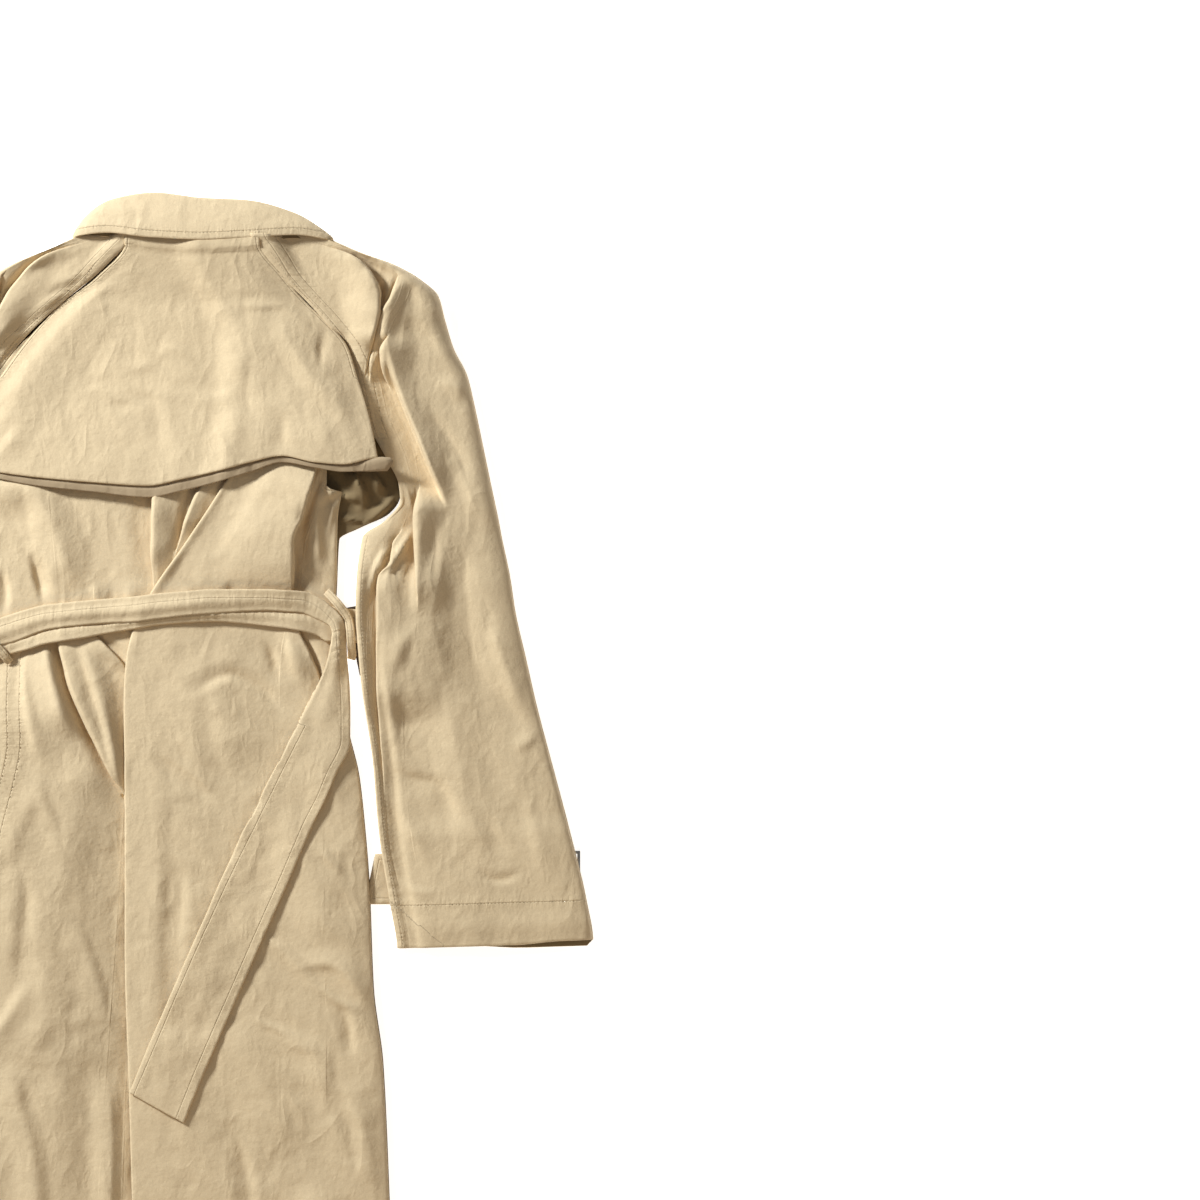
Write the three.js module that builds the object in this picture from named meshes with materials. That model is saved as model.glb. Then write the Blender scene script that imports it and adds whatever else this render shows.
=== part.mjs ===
// A belted raglan trench coat laid face down on a flat surface, its back and storm shield upwards.
// Millimetres. +Z is up off the surface, +Y runs from the hem to the collar, +X is the wearer's right.
// The origin is on the surface, under the middle of the coat's box.

import * as THREE from "three";

// Driving dimensions

const CLOTH = 1.6; // wall of a single panel
const STRAP = 2.2; // belt, straps and hemmed flaps: two layers sewn together
const CLEAR = 0.5; // gap between pieces that touch
const COLLAR_TOP = 585; // y of the collar's roll line
const HEM = -585; // y of the lower hem
const BODY_AXIS = -4.75; // x of the body's middle from the waist down
const VENT_UNDERLAP = 42; // how far the left back runs under the vent's edge
const TURN_DEPTH = 20; // cloth turned under at a fold's edge
const TURN_RADIUS = 1.7; // bend of the cloth there, at its middle
const FRONT_OVERLAP = 34; // each front's reach past the middle
const NECK_LIFT = 2.7; // height of the fronts at the neck, where the collar's leaf is under them
const BUTTON_RADIUS = 11;
const BUTTON_THICK = 2.4;
const BUTTON_ROWS = [404, 300, 84, -20, -124]; // y of the five front buttons
const CUFF_STRAP_Y = -65.5; // middle of the strap round each cuff
const CUFF_STRAP_HALF = 23.5;

// Outlines, as sections from the top down. Each row is one height y on the coat.

// Raglan sleeve: inner is the edge of its upper layer, front that of its lower layer, outer its folded edge,
// seam the height of the upper layer's inner edge, loft how far the upper layer stands off the lower one.
const SLEEVE = [
  { y: 541, inner: 103, front: 117, outer: 165, seam: 21.0, loft: 20 },
  { y: 537, inner: 103.5, front: 117, outer: 176, seam: 19.0, loft: 19 },
  { y: 528, inner: 110, front: 117, outer: 198, seam: 14.5, loft: 18 },
  { y: 518, inner: 117, front: 119, outer: 227, seam: 11.0, loft: 17 },
  { y: 504, inner: 126, front: 130, outer: 252, seam: 9.4, loft: 16 },
  { y: 488, inner: 141, front: 146, outer: 269, seam: 9.2, loft: 15 },
  { y: 466, inner: 163, front: 169, outer: 275, seam: 9.2, loft: 14 },
  { y: 440, inner: 184, front: 191, outer: 283, seam: 9.0, loft: 13 },
  { y: 414, inner: 194, front: 201, outer: 296, seam: 8.0, loft: 12 },
  { y: 390, inner: 199, front: 206, outer: 302, seam: 7.5, loft: 12 },
  { y: 362, inner: 206, front: 214, outer: 308, seam: 7.0, loft: 12 },
  { y: 333, inner: 221, front: 231, outer: 314, seam: 6.5, loft: 12 },
  { y: 309, inner: 232, front: 237, outer: 319, seam: 6.0, loft: 12 },
  { y: 295, inner: 233, front: 235, outer: 322, seam: 5.0, loft: 12 },
  { y: 276, inner: 219, front: 221, outer: 326, seam: 4.0, loft: 11 },
  { y: 260, inner: 197, front: 197, outer: 329, seam: 2.9, loft: 10 },
  { y: 222, inner: 192, front: 192, outer: 337, seam: 2.9, loft: 10 },
  { y: 189, inner: 191, front: 191, outer: 342, seam: 2.9, loft: 9 },
  { y: 145, inner: 194, front: 194, outer: 352, seam: 2.9, loft: 8 },
  { y: 101, inner: 199, front: 199, outer: 362, seam: 2.9, loft: 7 },
  { y: 44, inner: 207, front: 207, outer: 377, seam: 2.9, loft: 7 },
  { y: -5, inner: 211, front: 211, outer: 390, seam: 2.9, loft: 7 },
  { y: -37, inner: 215, front: 215, outer: 398, seam: 2.9, loft: 6.5 },
  { y: -84, inner: 223, front: 223, outer: 409, seam: 2.9, loft: 6.5 },
  { y: -131, inner: 230, front: 230, outer: 416.1, seam: 2.9, loft: 8 },
];

// The middle between the two raglan seams and between the two sleeves' outer edges: the neck leans to the right.
const MIDDLE = [
  { y: 541, seam: 38, outer: 46 },
  { y: 504, seam: 32, outer: 46 },
  { y: 440, seam: 24, outer: 28 },
  { y: 390, seam: 14, outer: 14 },
  { y: 333, seam: 2, outer: 2 },
  { y: 276, seam: -4.75, outer: -4.75 },
  { y: 44, seam: -4.75, outer: -4.75 },
  { y: -37, seam: -3, outer: -3 },
  { y: -131, seam: 0, outer: 0 },
];

// Wearer's right side of the body, from the raglan seam to the hem.
const BODY_SIDE = [
  { y: 540, x: 98 },
  { y: 506, x: 121 },
  { y: 480, x: 144 },
  { y: 466, x: 158 },
  { y: 440, x: 180 },
  { y: 414, x: 190 },
  { y: 390, x: 194 },
  { y: 343, x: 187 },
  { y: 305, x: 179 },
  { y: 276, x: 174.5 },
  { y: 217, x: 173 },
  { y: 162, x: 171 },
  { y: 115, x: 178 },
  { y: 76, x: 184 },
  { y: 34, x: 194 },
  { y: -9, x: 199 },
  { y: -71, x: 204 },
  { y: -170, x: 208 },
  { y: -241, x: 217 },
  { y: -370, x: 223 },
  { y: -585, x: 231 },
];

// Front armhole edge: the fronts are wider than the back under the arm, so their inside shows there.
const FRONT_ARMHOLE = [
  { y: 520, x: 114 },
  { y: 504, x: 127 },
  { y: 488, x: 143 },
  { y: 466, x: 166 },
  { y: 440, x: 188 },
  { y: 414, x: 198 },
  { y: 390, x: 203 },
  { y: 362, x: 211 },
  { y: 333, x: 228 },
  { y: 309, x: 234 },
  { y: 295, x: 231 },
  { y: 282, x: 221 },
  { y: 269, x: 194 },
  { y: 258, x: 174 },
  { y: 217, x: 172 },
  { y: 162, x: 170 },
];

// Edge of the right back where it folds over the left back: the waist pleat above, the vent below.
const VENT_EDGE = [
  { y: 533, x: 52 },
  { y: 440, x: 92 },
  { y: 390, x: 90 },
  { y: 338, x: 81 },
  { y: 307, x: 64 },
  { y: 252, x: 28 },
  { y: 204, x: -5 },
  { y: 176, x: -19 },
  { y: 141, x: -27 },
  { y: 105, x: -29 },
  { y: 20, x: -28 },
  { y: -128, x: -28 },
  { y: -265, x: -24 },
  { y: -370, x: -21 },
  { y: -585, x: -14 },
];

// Left and right edges of the storm shield: sewn along the raglan seam, then hanging free.
const SHIELD_EDGES = [
  { y: 538, left: -26, right: 101 },
  { y: 506, left: -54, right: 123 },
  { y: 480, left: -90, right: 146 },
  { y: 466, left: -104, right: 161 },
  { y: 440, left: -126, right: 183 },
  { y: 412, left: -146, right: 192 },
  { y: 387, left: -162, right: 200 },
  { y: 360, left: -177, right: 207 },
  { y: 330, left: -190, right: 213 },
  { y: 300, left: -200, right: 222 },
];

// Hem of the shield and of its facing, from the wearer's left to right. stand is how far the hem is lifted.
const SHIELD_HEM = [
  { x: -192, shield: 333, facing: 333, stand: 2 },
  { x: -147, shield: 322, facing: 316, stand: 5 },
  { x: -109, shield: 317, facing: 309, stand: 7 },
  { x: -54, shield: 312, facing: 303, stand: 7 },
  { x: -5, shield: 309, facing: 298, stand: 6 },
  { x: 26, shield: 315, facing: 304, stand: 8 },
  { x: 62, shield: 323, facing: 313, stand: 7 },
  { x: 92, shield: 331, facing: 322, stand: 5 },
  { x: 123, shield: 337, facing: 331, stand: 5 },
  { x: 153, shield: 331, facing: 326, stand: 7 },
  { x: 180, shield: 329, facing: 322, stand: 8 },
  { x: 214, shield: 335, facing: 323, stand: 9 },
];

// Neck seam at the back, and the collar's roll line and free edge above it.
const NECK = [
  { x: -52, y: 546 },
  { x: -27, y: 540 },
  { x: 5, y: 535 },
  { x: 38, y: 533 },
  { x: 76, y: 534 },
  { x: 102, y: 537 },
  { x: 124, y: 542 },
];

// The collar as a flattened ring. turn runs from the front edge on the right, over the back, to the front edge
// on the left; roll and free are the y of the roll line and of the leaf's free edge; lift is how far that stands off.
const COLLAR = [
  { turn: -78, seam: 506, roll: 529, free: 487, lift: 0.6 },
  { turn: -55, seam: 519, roll: 534, free: 494, lift: 0.6 },
  { turn: -38, seam: 527, roll: 537, free: 524, lift: 0.6 },
  { turn: -22, seam: 535, roll: 540, free: 538, lift: 1.0 },
  { turn: 0, seam: 540, roll: 543.5, free: 541.5, lift: 2.0 },
  { turn: 20, seam: 542, roll: 551, free: 544, lift: 3.5 },
  { turn: 45, seam: 542.5, roll: 567, free: 546, lift: 5.0 },
  { turn: 70, seam: 535.5, roll: 578, free: 542, lift: 6.5 },
  { turn: 90, seam: 533.5, roll: 580, free: 541, lift: 6.5 },
  { turn: 112, seam: 535.5, roll: 585, free: 544, lift: 6.5 },
  { turn: 135, seam: 543.5, roll: 579, free: 550, lift: 6.0 },
  { turn: 158, seam: 546, roll: 562, free: 550, lift: 5.0 },
  { turn: 180, seam: 541, roll: 545, free: 543, lift: 2.0 },
  { turn: 202, seam: 535, roll: 540, free: 538, lift: 1.0 },
  { turn: 218, seam: 527, roll: 537, free: 524, lift: 0.6 },
  { turn: 235, seam: 519, roll: 534, free: 494, lift: 0.6 },
  { turn: 258, seam: 506, roll: 529, free: 487, lift: 0.6 },
];
const COLLAR_MIDDLE = 46.5;
const COLLAR_HALF = 118; // half the width of the stand's ring
const COLLAR_RISE = 10; // height of its back above its sides
const COLLAR_DIP = 22; // depth its front would reach below its sides if the surface did not stop it
const COLLAR_SIDE = 13.5; // height of its sides

// The belt, from its buckle at the right side over the back to the left loop, back again on top of itself, through
// the right loop and down to its free end. up and down are its two edges, level how many layers it lies on.
const BELT = [
  { upX: 200, upY: 188, downX: 204, downY: 160, level: 1.2 },
  { upX: 188, upY: 191, downX: 191, downY: 160, level: 1.2 },
  { upX: 178, upY: 192, downX: 179, downY: 160, level: 0.5 },
  { upX: 166, upY: 194, downX: 165, downY: 160, level: 0 },
  { upX: 156, upY: 195, downX: 154, downY: 166, level: 0 },
  { upX: 141, upY: 196, downX: 141, downY: 170, level: 0 },
  { upX: 124, upY: 197, downX: 124, downY: 173, level: 0 },
  { upX: 107, upY: 198, downX: 107, downY: 175, level: 0 },
  { upX: 82, upY: 197, downX: 82, downY: 178, level: 0 },
  { upX: 56, upY: 195, downX: 56, downY: 180, level: 0 },
  { upX: 30, upY: 193, downX: 30, downY: 179, level: 0 },
  { upX: 5, upY: 190, downX: 5, downY: 177, level: 0 },
  { upX: -19, upY: 187, downX: -19, downY: 173, level: 0 },
  { upX: -43, upY: 185, downX: -43, downY: 169, level: 0 },
  { upX: -67, upY: 184, downX: -67, downY: 164, level: 0 },
  { upX: -86, upY: 182, downX: -86, downY: 161, level: 0 },
  { upX: -104, upY: 179, downX: -104, downY: 158, level: 0 },
  { upX: -120, upY: 173, downX: -120, downY: 153, level: 0 },
  { upX: -136, upY: 168, downX: -136, downY: 149, level: 0 },
  { upX: -152, upY: 164, downX: -152, downY: 143, level: 0 },
  { upX: -166, upY: 160, downX: -166, downY: 140, level: 0 },
  { upX: -170.4, upY: 163, downX: -170.4, downY: 142, level: 0.5 },
  { upX: -166, upY: 168, downX: -166, downY: 146, level: 1 },
  { upX: -152, upY: 180, downX: -152, downY: 155, level: 1 },
  { upX: -136, upY: 186, downX: -136, downY: 159, level: 1 },
  { upX: -120, upY: 191, downX: -120, downY: 165, level: 1 },
  { upX: -104, upY: 195, downX: -104, downY: 171, level: 1 },
  { upX: -86, upY: 197, downX: -86, downY: 174, level: 1 },
  { upX: -67, upY: 199, downX: -67, downY: 176, level: 1 },
  { upX: -43, upY: 201, downX: -43, downY: 178, level: 1 },
  { upX: -19, upY: 203, downX: -19, downY: 179, level: 1 },
  { upX: 5, upY: 206, downX: 5, downY: 182, level: 1 },
  { upX: 30, upY: 208, downX: 30, downY: 185, level: 1 },
  { upX: 56, upY: 210, downX: 56, downY: 187, level: 1 },
  { upX: 82, upY: 210, downX: 82, downY: 189, level: 1 },
  { upX: 107, upY: 210, downX: 107, downY: 190, level: 1 },
  { upX: 124, upY: 209, downX: 124, downY: 189, level: 1 },
  { upX: 141, upY: 208, downX: 139, downY: 188, level: 1 },
  { upX: 156, upY: 202, downX: 152, downY: 183, level: 1 },
  { upX: 167, upY: 194, downX: 161, downY: 179, level: 1.2 },
  { upX: 178, upY: 182, downX: 167, downY: 175, level: 1.8 },
  { upX: 181, upY: 170, downX: 169, downY: 168, level: 2 },
  { upX: 181.5, upY: 158, downX: 167, downY: 155, level: 1.8 },
  { upX: 182, upY: 146, downX: 163, downY: 140, level: 1.2 },
  { upX: 184, upY: 122, downX: 155, downY: 121, level: 0 },
  { upX: 185, upY: 94, downX: 145, downY: 102, level: 0 },
  { upX: 185, upY: 65, downX: 134, downY: 80, level: 0 },
  { upX: 172, upY: 36, downX: 115, downY: 42, level: 0 },
  { upX: 162, upY: 12, downX: 105, downY: 22, level: 0 },
  { upX: 150, upY: -12, downX: 95, downY: 2, level: 0 },
  { upX: 138, upY: -40, downX: 82, downY: -24, level: 0 },
  { upX: 126, upY: -68, downX: 70, downY: -48, level: 0 },
  { upX: 113, upY: -97, downX: 59, downY: -71, level: 0 },
  { upX: 100, upY: -126, downX: 49, downY: -93, level: 0 },
  { upX: 86, upY: -158, downX: 34, downY: -126, level: 0 },
  { upX: 72, upY: -190, downX: 20, downY: -158, level: 0 },
  { upX: 59, upY: -220, downX: 7, downY: -188, level: 0 },
  { upX: 46, upY: -250, downX: -6, downY: -219, level: 0 },
  { upX: 28, upY: -295, downX: -26, downY: -265, level: 0 },
];

// The narrow loops at the sides that the belt goes through, as points along the middle of each. lift is how far
// a point stands off the cloth, or off the surface beside it.
const LOOP_WIDTH = 8;
const LOOP_RIGHT = [
  { x: 163, y: 208, lift: 0 },
  { x: 169, y: 202, lift: 4 },
  { x: 177, y: 193, lift: 9.5 },
  { x: 184.5, y: 181, lift: 12 },
  { x: 186.5, y: 169, lift: 17 },
  { x: 187, y: 158, lift: 13 },
  { x: 188, y: 150, lift: 7 },
  { x: 187, y: 144, lift: 3 },
];
const LOOP_LEFT = [
  { x: -178, y: 186, lift: 0 },
  { x: -174, y: 180, lift: 5 },
  { x: -168, y: 173, lift: 9.5 },
  { x: -158, y: 164, lift: 9.5 },
  { x: -149, y: 156, lift: 9 },
  { x: -144, y: 151, lift: 7.5 },
  { x: -140.5, y: 146, lift: 4.6 },
  { x: -137, y: 141.5, lift: 0 },
];

// Folds. Each is a soft crest from (x0, y0) to (x1, y1), as high as rise and as wide as left and right on its two
// sides, seen looking from its first end to its second. A negative rise is a trough.

const RIGHT_BACK_FOLDS = [
  { x0: 160, y0: 330, x1: 131, y1: 256, rise: 7, left: 12, right: 70 },
  { x0: 131, y0: 256, x1: 131, y1: 200, rise: 6, left: 12, right: 60 },
  { x0: 161, y0: 300, x1: 158, y1: 215, rise: 5, left: 12, right: 12 },
  { x0: 136, y0: 140, x1: 160, y1: 100, rise: -4, left: 14, right: 12 },
  { x0: 40, y0: 140, x1: 80, y1: 40, rise: 5, left: 60, right: 50 },
  { x0: 43, y0: 118, x1: 110, y1: 121, rise: -3, left: 16, right: 16 },
  { x0: 110, y0: 121, x1: 142, y1: 88, rise: -3, left: 16, right: 16 },
  { x0: -6, y0: 80, x1: -2, y1: -560, rise: 3, left: 60, right: 20 },
  { x0: 128, y0: -10, x1: 168, y1: -150, rise: 4, left: 32, right: 30 },
  { x0: 140, y0: -150, x1: 205, y1: -182, rise: 5, left: 22, right: 22 },
  { x0: 60, y0: -180, x1: 150, y1: -330, rise: 5, left: 42, right: 36 },
  { x0: 55, y0: -400, x1: 68, y1: -600, rise: 8, left: 36, right: 30 },
  { x0: 150, y0: -360, x1: 168, y1: -600, rise: 8, left: 30, right: 34 },
];

const LEFT_BACK_FOLDS = [
  { x0: -147, y0: 307, x1: -109, y1: 282, rise: 6, left: 26, right: 24 },
  { x0: -109, y0: 282, x1: -79, y1: 215, rise: 6, left: 34, right: 22 },
  { x0: -116, y0: 243, x1: -103, y1: 205, rise: -5, left: 14, right: 16 },
  { x0: -111, y0: 140, x1: -90, y1: 40, rise: 7, left: 14, right: 16 },
  { x0: -93, y0: 142, x1: -66, y1: 80, rise: -5, left: 12, right: 12 },
  { x0: -66, y0: 142, x1: -42, y1: 20, rise: 7, left: 14, right: 18 },
  { x0: -62, y0: 70, x1: -76, y1: -44, rise: 5, left: 34, right: 30 },
  { x0: -76, y0: -44, x1: -98, y1: -170, rise: 7, left: 34, right: 30 },
  { x0: -98, y0: -170, x1: -140, y1: -220, rise: 7, left: 34, right: 26 },
  { x0: -73, y0: -114, x1: -52, y1: -205, rise: 4, left: 16, right: 20 },
  { x0: -124, y0: -262, x1: -108, y1: -390, rise: 6, left: 26, right: 24 },
  { x0: -128, y0: 20, x1: -160, y1: -90, rise: 6, left: 24, right: 22 },
  { x0: -190, y0: -20, x1: -212, y1: -300, rise: 6, left: 26, right: 24 },
  { x0: -196, y0: 300, x1: -150, y1: 240, rise: 5, left: 26, right: 22 },
  { x0: -70, y0: -380, x1: -62, y1: -600, rise: 8, left: 32, right: 32 },
  { x0: -165, y0: -360, x1: -176, y1: -600, rise: 8, left: 34, right: 30 },
];

const SHIELD_FOLDS = [
  { x0: 140, y0: 465, x1: 166, y1: 345, rise: 4, left: 34, right: 30 },
  { x0: 112, y0: 470, x1: 70, y1: 390, rise: 3, left: 34, right: 30 },
  { x0: -40, y0: 500, x1: -150, y1: 360, rise: 4, left: 46, right: 30 },
  { x0: 40, y0: 420, x1: -10, y1: 330, rise: 3, left: 40, right: 46 },
];

const SLEEVE_FOLDS = [
  { x0: 180, y0: 520, x1: 252, y1: 486, rise: 4, left: 18, right: 26 },
  { x0: 212, y0: 492, x1: 206, y1: 410, rise: -6, left: 16, right: 14 },
  { x0: 216, y0: 470, x1: 236, y1: 395, rise: 6, left: 24, right: 22 },
  { x0: 236, y0: 395, x1: 276, y1: 300, rise: 8, left: 26, right: 26 },
  { x0: 250, y0: 300, x1: 246, y1: 190, rise: 7, left: 24, right: 20 },
  { x0: 276, y0: 300, x1: 258, y1: 190, rise: 4, left: 22, right: 18 },
  { x0: 255, y0: 181, x1: 284, y1: 69, rise: 6, left: 26, right: 30 },
  { x0: 284, y0: 69, x1: 312, y1: -40, rise: 5, left: 26, right: 28 },
  { x0: 292, y0: 210, x1: 318, y1: 90, rise: -3, left: 26, right: 24 },
  { x0: 316, y0: 200, x1: 346, y1: 70, rise: 3, left: 22, right: 24 },
  { x0: 222, y0: 130, x1: 240, y1: 10, rise: 3, left: 22, right: 16 },
  { x0: 350, y0: -20, x1: 372, y1: -90, rise: 2, left: 24, right: 24 },
];

// Arithmetic

const mix = (a, b, share) => a + (b - a) * share;

const smooth = (share) => {
  const t = Math.min(1, Math.max(0, share));
  return t * t * (3 - 2 * t);
};

const shares = (count) => Array.from({ length: count + 1 }, (_, i) => i / count);

// A column of a table as a smooth function of another column, flat past its ends and never overshooting a row.
function curve(table, key, column) {
  const rows = [...table].sort((a, b) => a[key] - b[key]);
  const at = rows.map((row) => row[key]);
  const value = rows.map((row) => row[column]);
  const slope = at.map((_, i) => {
    if (i === 0 || i === at.length - 1) return 0;
    const before = (value[i] - value[i - 1]) / (at[i] - at[i - 1]);
    const after = (value[i + 1] - value[i]) / (at[i + 1] - at[i]);
    return before * after <= 0 ? 0 : (2 * before * after) / (before + after);
  });
  return (place) => {
    if (place <= at[0]) return value[0];
    if (place >= at.at(-1)) return value.at(-1);
    const i = at.findIndex((a, n) => a <= place && place < at[n + 1]);
    const span = at[i + 1] - at[i];
    const t = (place - at[i]) / span;
    const early = (1 + 2 * t) * (1 - t) ** 2 * value[i] + t * (1 - t) ** 2 * span * slope[i];
    const late = t * t * (3 - 2 * t) * value[i + 1] + t * t * (t - 1) * span * slope[i + 1];
    return early + late;
  };
}

// What one fold adds to the height at (x, y).
function foldRise(fold, x, y) {
  const dx = fold.x1 - fold.x0;
  const dy = fold.y1 - fold.y0;
  const length = Math.hypot(dx, dy);
  const along = ((x - fold.x0) * dx + (y - fold.y0) * dy) / length;
  const across = ((x - fold.x0) * dy - (y - fold.y0) * dx) / length;
  const width = across < 0 ? fold.left : fold.right;
  const fade = Math.min(0.35 * length, 40);
  const ends = smooth((along + fade) / fade) * smooth((length + fade - along) / fade);
  return fold.rise * smooth(1 - Math.abs(across) / width) * ends;
}

const reliefOf = (folds) => (x, y) => folds.reduce((sum, fold) => sum + foldRise(fold, x, y), 0);

// A closed wall of even thickness round a grid of middle points.
function clothWall(grid, thickness) {
  const rows = grid.length;
  const columns = grid[0].length;
  const half = thickness / 2;
  const positions = [];
  for (const side of [half, -half]) {
    for (let r = 0; r < rows; r++) {
      for (let c = 0; c < columns; c++) {
        const down = grid[Math.min(r + 1, rows - 1)][c].clone().sub(grid[Math.max(r - 1, 0)][c]);
        const over = grid[r][Math.min(c + 1, columns - 1)].clone().sub(grid[r][Math.max(c - 1, 0)]);
        const normal = down.cross(over).normalize();
        positions.push(...grid[r][c].clone().addScaledVector(normal, side).toArray());
      }
    }
  }
  const upper = (r, c) => r * columns + c;
  const lower = (r, c) => rows * columns + r * columns + c;
  const index = [];
  const quad = (a, b, c, d) => index.push(a, b, c, a, c, d);
  for (let r = 0; r < rows - 1; r++) {
    for (let c = 0; c < columns - 1; c++) {
      quad(upper(r, c), upper(r + 1, c), upper(r + 1, c + 1), upper(r, c + 1));
      quad(lower(r, c), lower(r, c + 1), lower(r + 1, c + 1), lower(r + 1, c));
    }
    quad(upper(r + 1, 0), upper(r, 0), lower(r, 0), lower(r + 1, 0));
    quad(upper(r, columns - 1), upper(r + 1, columns - 1), lower(r + 1, columns - 1), lower(r, columns - 1));
  }
  for (let c = 0; c < columns - 1; c++) {
    quad(upper(0, c), upper(0, c + 1), lower(0, c + 1), lower(0, c));
    quad(upper(rows - 1, c + 1), upper(rows - 1, c), lower(rows - 1, c), lower(rows - 1, c + 1));
  }
  const geometry = new THREE.BufferGeometry();
  geometry.setAttribute("position", new THREE.Float32BufferAttribute(positions, 3));
  geometry.setIndex(index);
  geometry.computeVertexNormals();
  return geometry;
}

// Middle points of a flat-lying panel between its left and right edges, given by y, and its top and bottom edges,
// given by the share across.
function panelGrid({ across, down, left, right, top, bottom, height }) {
  return down.map((t) =>
    across.map((s) => {
      const y = mix(top(s), bottom(s), t);
      const x = mix(left(y), right(y), s);
      return new THREE.Vector3(x, y, height(x, y));
    }),
  );
}

// The same grid with its left edge turned under, as a folded edge is.
function turnUnderLeft(grid, drop) {
  return grid.map((row) => {
    const edge = row[0];
    const under = edge.z - drop;
    return [
      new THREE.Vector3(edge.x + TURN_DEPTH, edge.y, under),
      new THREE.Vector3(edge.x + 0.3 * TURN_DEPTH, edge.y, under),
      new THREE.Vector3(edge.x - drop / 2, edge.y, edge.z - drop / 2),
      ...row,
    ];
  });
}

// Layers, from the surface up

const bodyRight = curve(BODY_SIDE, "y", "x");
const seamMiddle = curve(MIDDLE, "y", "seam");
const outerMiddle = curve(MIDDLE, "y", "outer");
const bodyLeft = (y) => 2 * mix(BODY_AXIS, seamMiddle(y), smooth((y - 300) / 60)) - bodyRight(y);
const ventEdge = curve(VENT_EDGE, "y", "x");
const neckSeam = curve(NECK, "x", "y");
const rightRelief = reliefOf(RIGHT_BACK_FOLDS);
const leftRelief = reliefOf(LEFT_BACK_FOLDS);

// The cloth rises to the collar's seam over the last of the back.
const neckRise = (y) => 12 * smooth((y - 478) / 62);

// From 0 at the body's side edges to 1 further in. Above the armholes the edges are seams that don't drop.
function crown(x, y) {
  const inset = Math.min(bodyRight(y) - x, x - bodyLeft(y));
  const round = Math.sqrt(1 - (1 - Math.min(1, Math.max(0, inset) / 34)) ** 2);
  return mix(round, 1, smooth((y - 350) / 80));
}

// Above the waist the back lies flat under the shield, so its folds start below the shield's hem.
const belowShield = (y) => smooth((352 - y) / 60);

// Under the belt the folds are pressed together.
const pressed = (y) => 1 - 0.55 * smooth((46 - Math.abs(y - 182)) / 22);

const backBase = (x, y) => 3.2 + 6 * crown(x, y) + 0.75 * neckRise(y);

function leftBackHeight(x, y) {
  const clearOfVent = smooth((ventEdge(y) - x) / 14);
  return backBase(x, y) + leftRelief(x, y) * belowShield(y) * pressed(y) * clearOfVent * crown(x, y);
}

// The right back lies over the left back by the thickness of its own turned edge.
const LAP = CLOTH + CLEAR + 2 * TURN_RADIUS;
const lapOf = (x, y) => LAP * smooth((ventEdge(y) + VENT_UNDERLAP + 26 - x) / 26);

function rightBackHeight(x, y) {
  const folds = rightRelief(x, y) * belowShield(y) * pressed(y) * crown(x, y);
  const overFold = smooth((x - ventEdge(y) - TURN_DEPTH) / 24);
  return backBase(x, y) + lapOf(x, y) + mix(Math.max(0, 0.3 * folds), folds, overFold);
}

// Highest face of the two backs within reach of a point, or the surface beside them.
function backTop(x, y, reach) {
  let top = 0;
  for (const dx of [-1, -0.5, 0, 0.5, 1]) {
    for (const dy of [-1, 0, 1]) {
      const px = x + dx * reach;
      const py = y + dy * reach;
      if (px > bodyRight(py) + 0.5 || px < bodyLeft(py) - 0.5) continue;
      const height = px > ventEdge(py) - 3 ? rightBackHeight(px, py) : leftBackHeight(px, py);
      top = Math.max(top, height + CLOTH / 2);
    }
  }
  return top;
}

const shieldHem = curve(SHIELD_HEM, "x", "shield");
const facingHem = curve(SHIELD_HEM, "x", "facing");
const hemStand = curve(SHIELD_HEM, "x", "stand");
const shieldLeft = curve(SHIELD_EDGES, "y", "left");
const shieldRight = curve(SHIELD_EDGES, "y", "right");
const shieldRelief = reliefOf(SHIELD_FOLDS);

function shieldHeight(x, y) {
  const lapped = smooth((x - ventEdge(y) + 36) / 30) * smooth((ventEdge(y) + VENT_UNDERLAP + 46 - x) / 30);
  const rest = 9.6 + CLOTH / 2 + CLEAR + STRAP / 2 + LAP * lapped + neckRise(y);
  const towardHem = smooth((shieldHem(x) + 130 - y) / 130);
  const inset = Math.min(shieldRight(y) - x, x - shieldLeft(y));
  const loose = smooth(inset / 40) * smooth((534 - y) / 40);
  return rest + (1.2 + Math.max(0, shieldRelief(x, y))) * loose + hemStand(x) * towardHem ** 2;
}

// Under the right sleeve lies the belt's buckle, and under each cuff its strap.
const buckleLift = (x, y) => 8.4 * smooth((286 - x) / 42) * smooth((84 - Math.abs(y - 164)) / 38);
const strapLift = (y) => 2.8 * smooth((64 - Math.abs(y - CUFF_STRAP_Y)) / 24);
const neckLift = (y) => NECK_LIFT * smooth((y - 455) / 22);

// Pieces

const coat = new THREE.Group();
const cloth = new THREE.MeshStandardMaterial({ color: 0xd8c19a, roughness: 0.72, metalness: 0 });
const clothInside = new THREE.MeshStandardMaterial({ color: 0xb79c6c, roughness: 0.78, metalness: 0 });
const horn = new THREE.MeshStandardMaterial({ color: 0x5a4330, roughness: 0.35, metalness: 0 });
const metal = new THREE.MeshStandardMaterial({ color: 0xb9bcc0, roughness: 0.3, metalness: 1 });

function add(name, geometry, material) {
  const mesh = new THREE.Mesh(geometry, material);
  mesh.name = name;
  coat.add(mesh);
}

// Fronts: the wearer's left front is outermost, so it lies on the surface with the right front on it. The strip
// that carries the buttons is raised by their thickness.

const FRONT_LEVELS = [
  504, 488, 478, 466, 452, 440, 414, 390, 362, 333, 309, 295, 282, 269, 258, 222, 150, 40, -80, -200, -320, -440,
];
const FRONT_NECK = 518.6; // y where the front's raglan seam meets the neck

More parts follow.
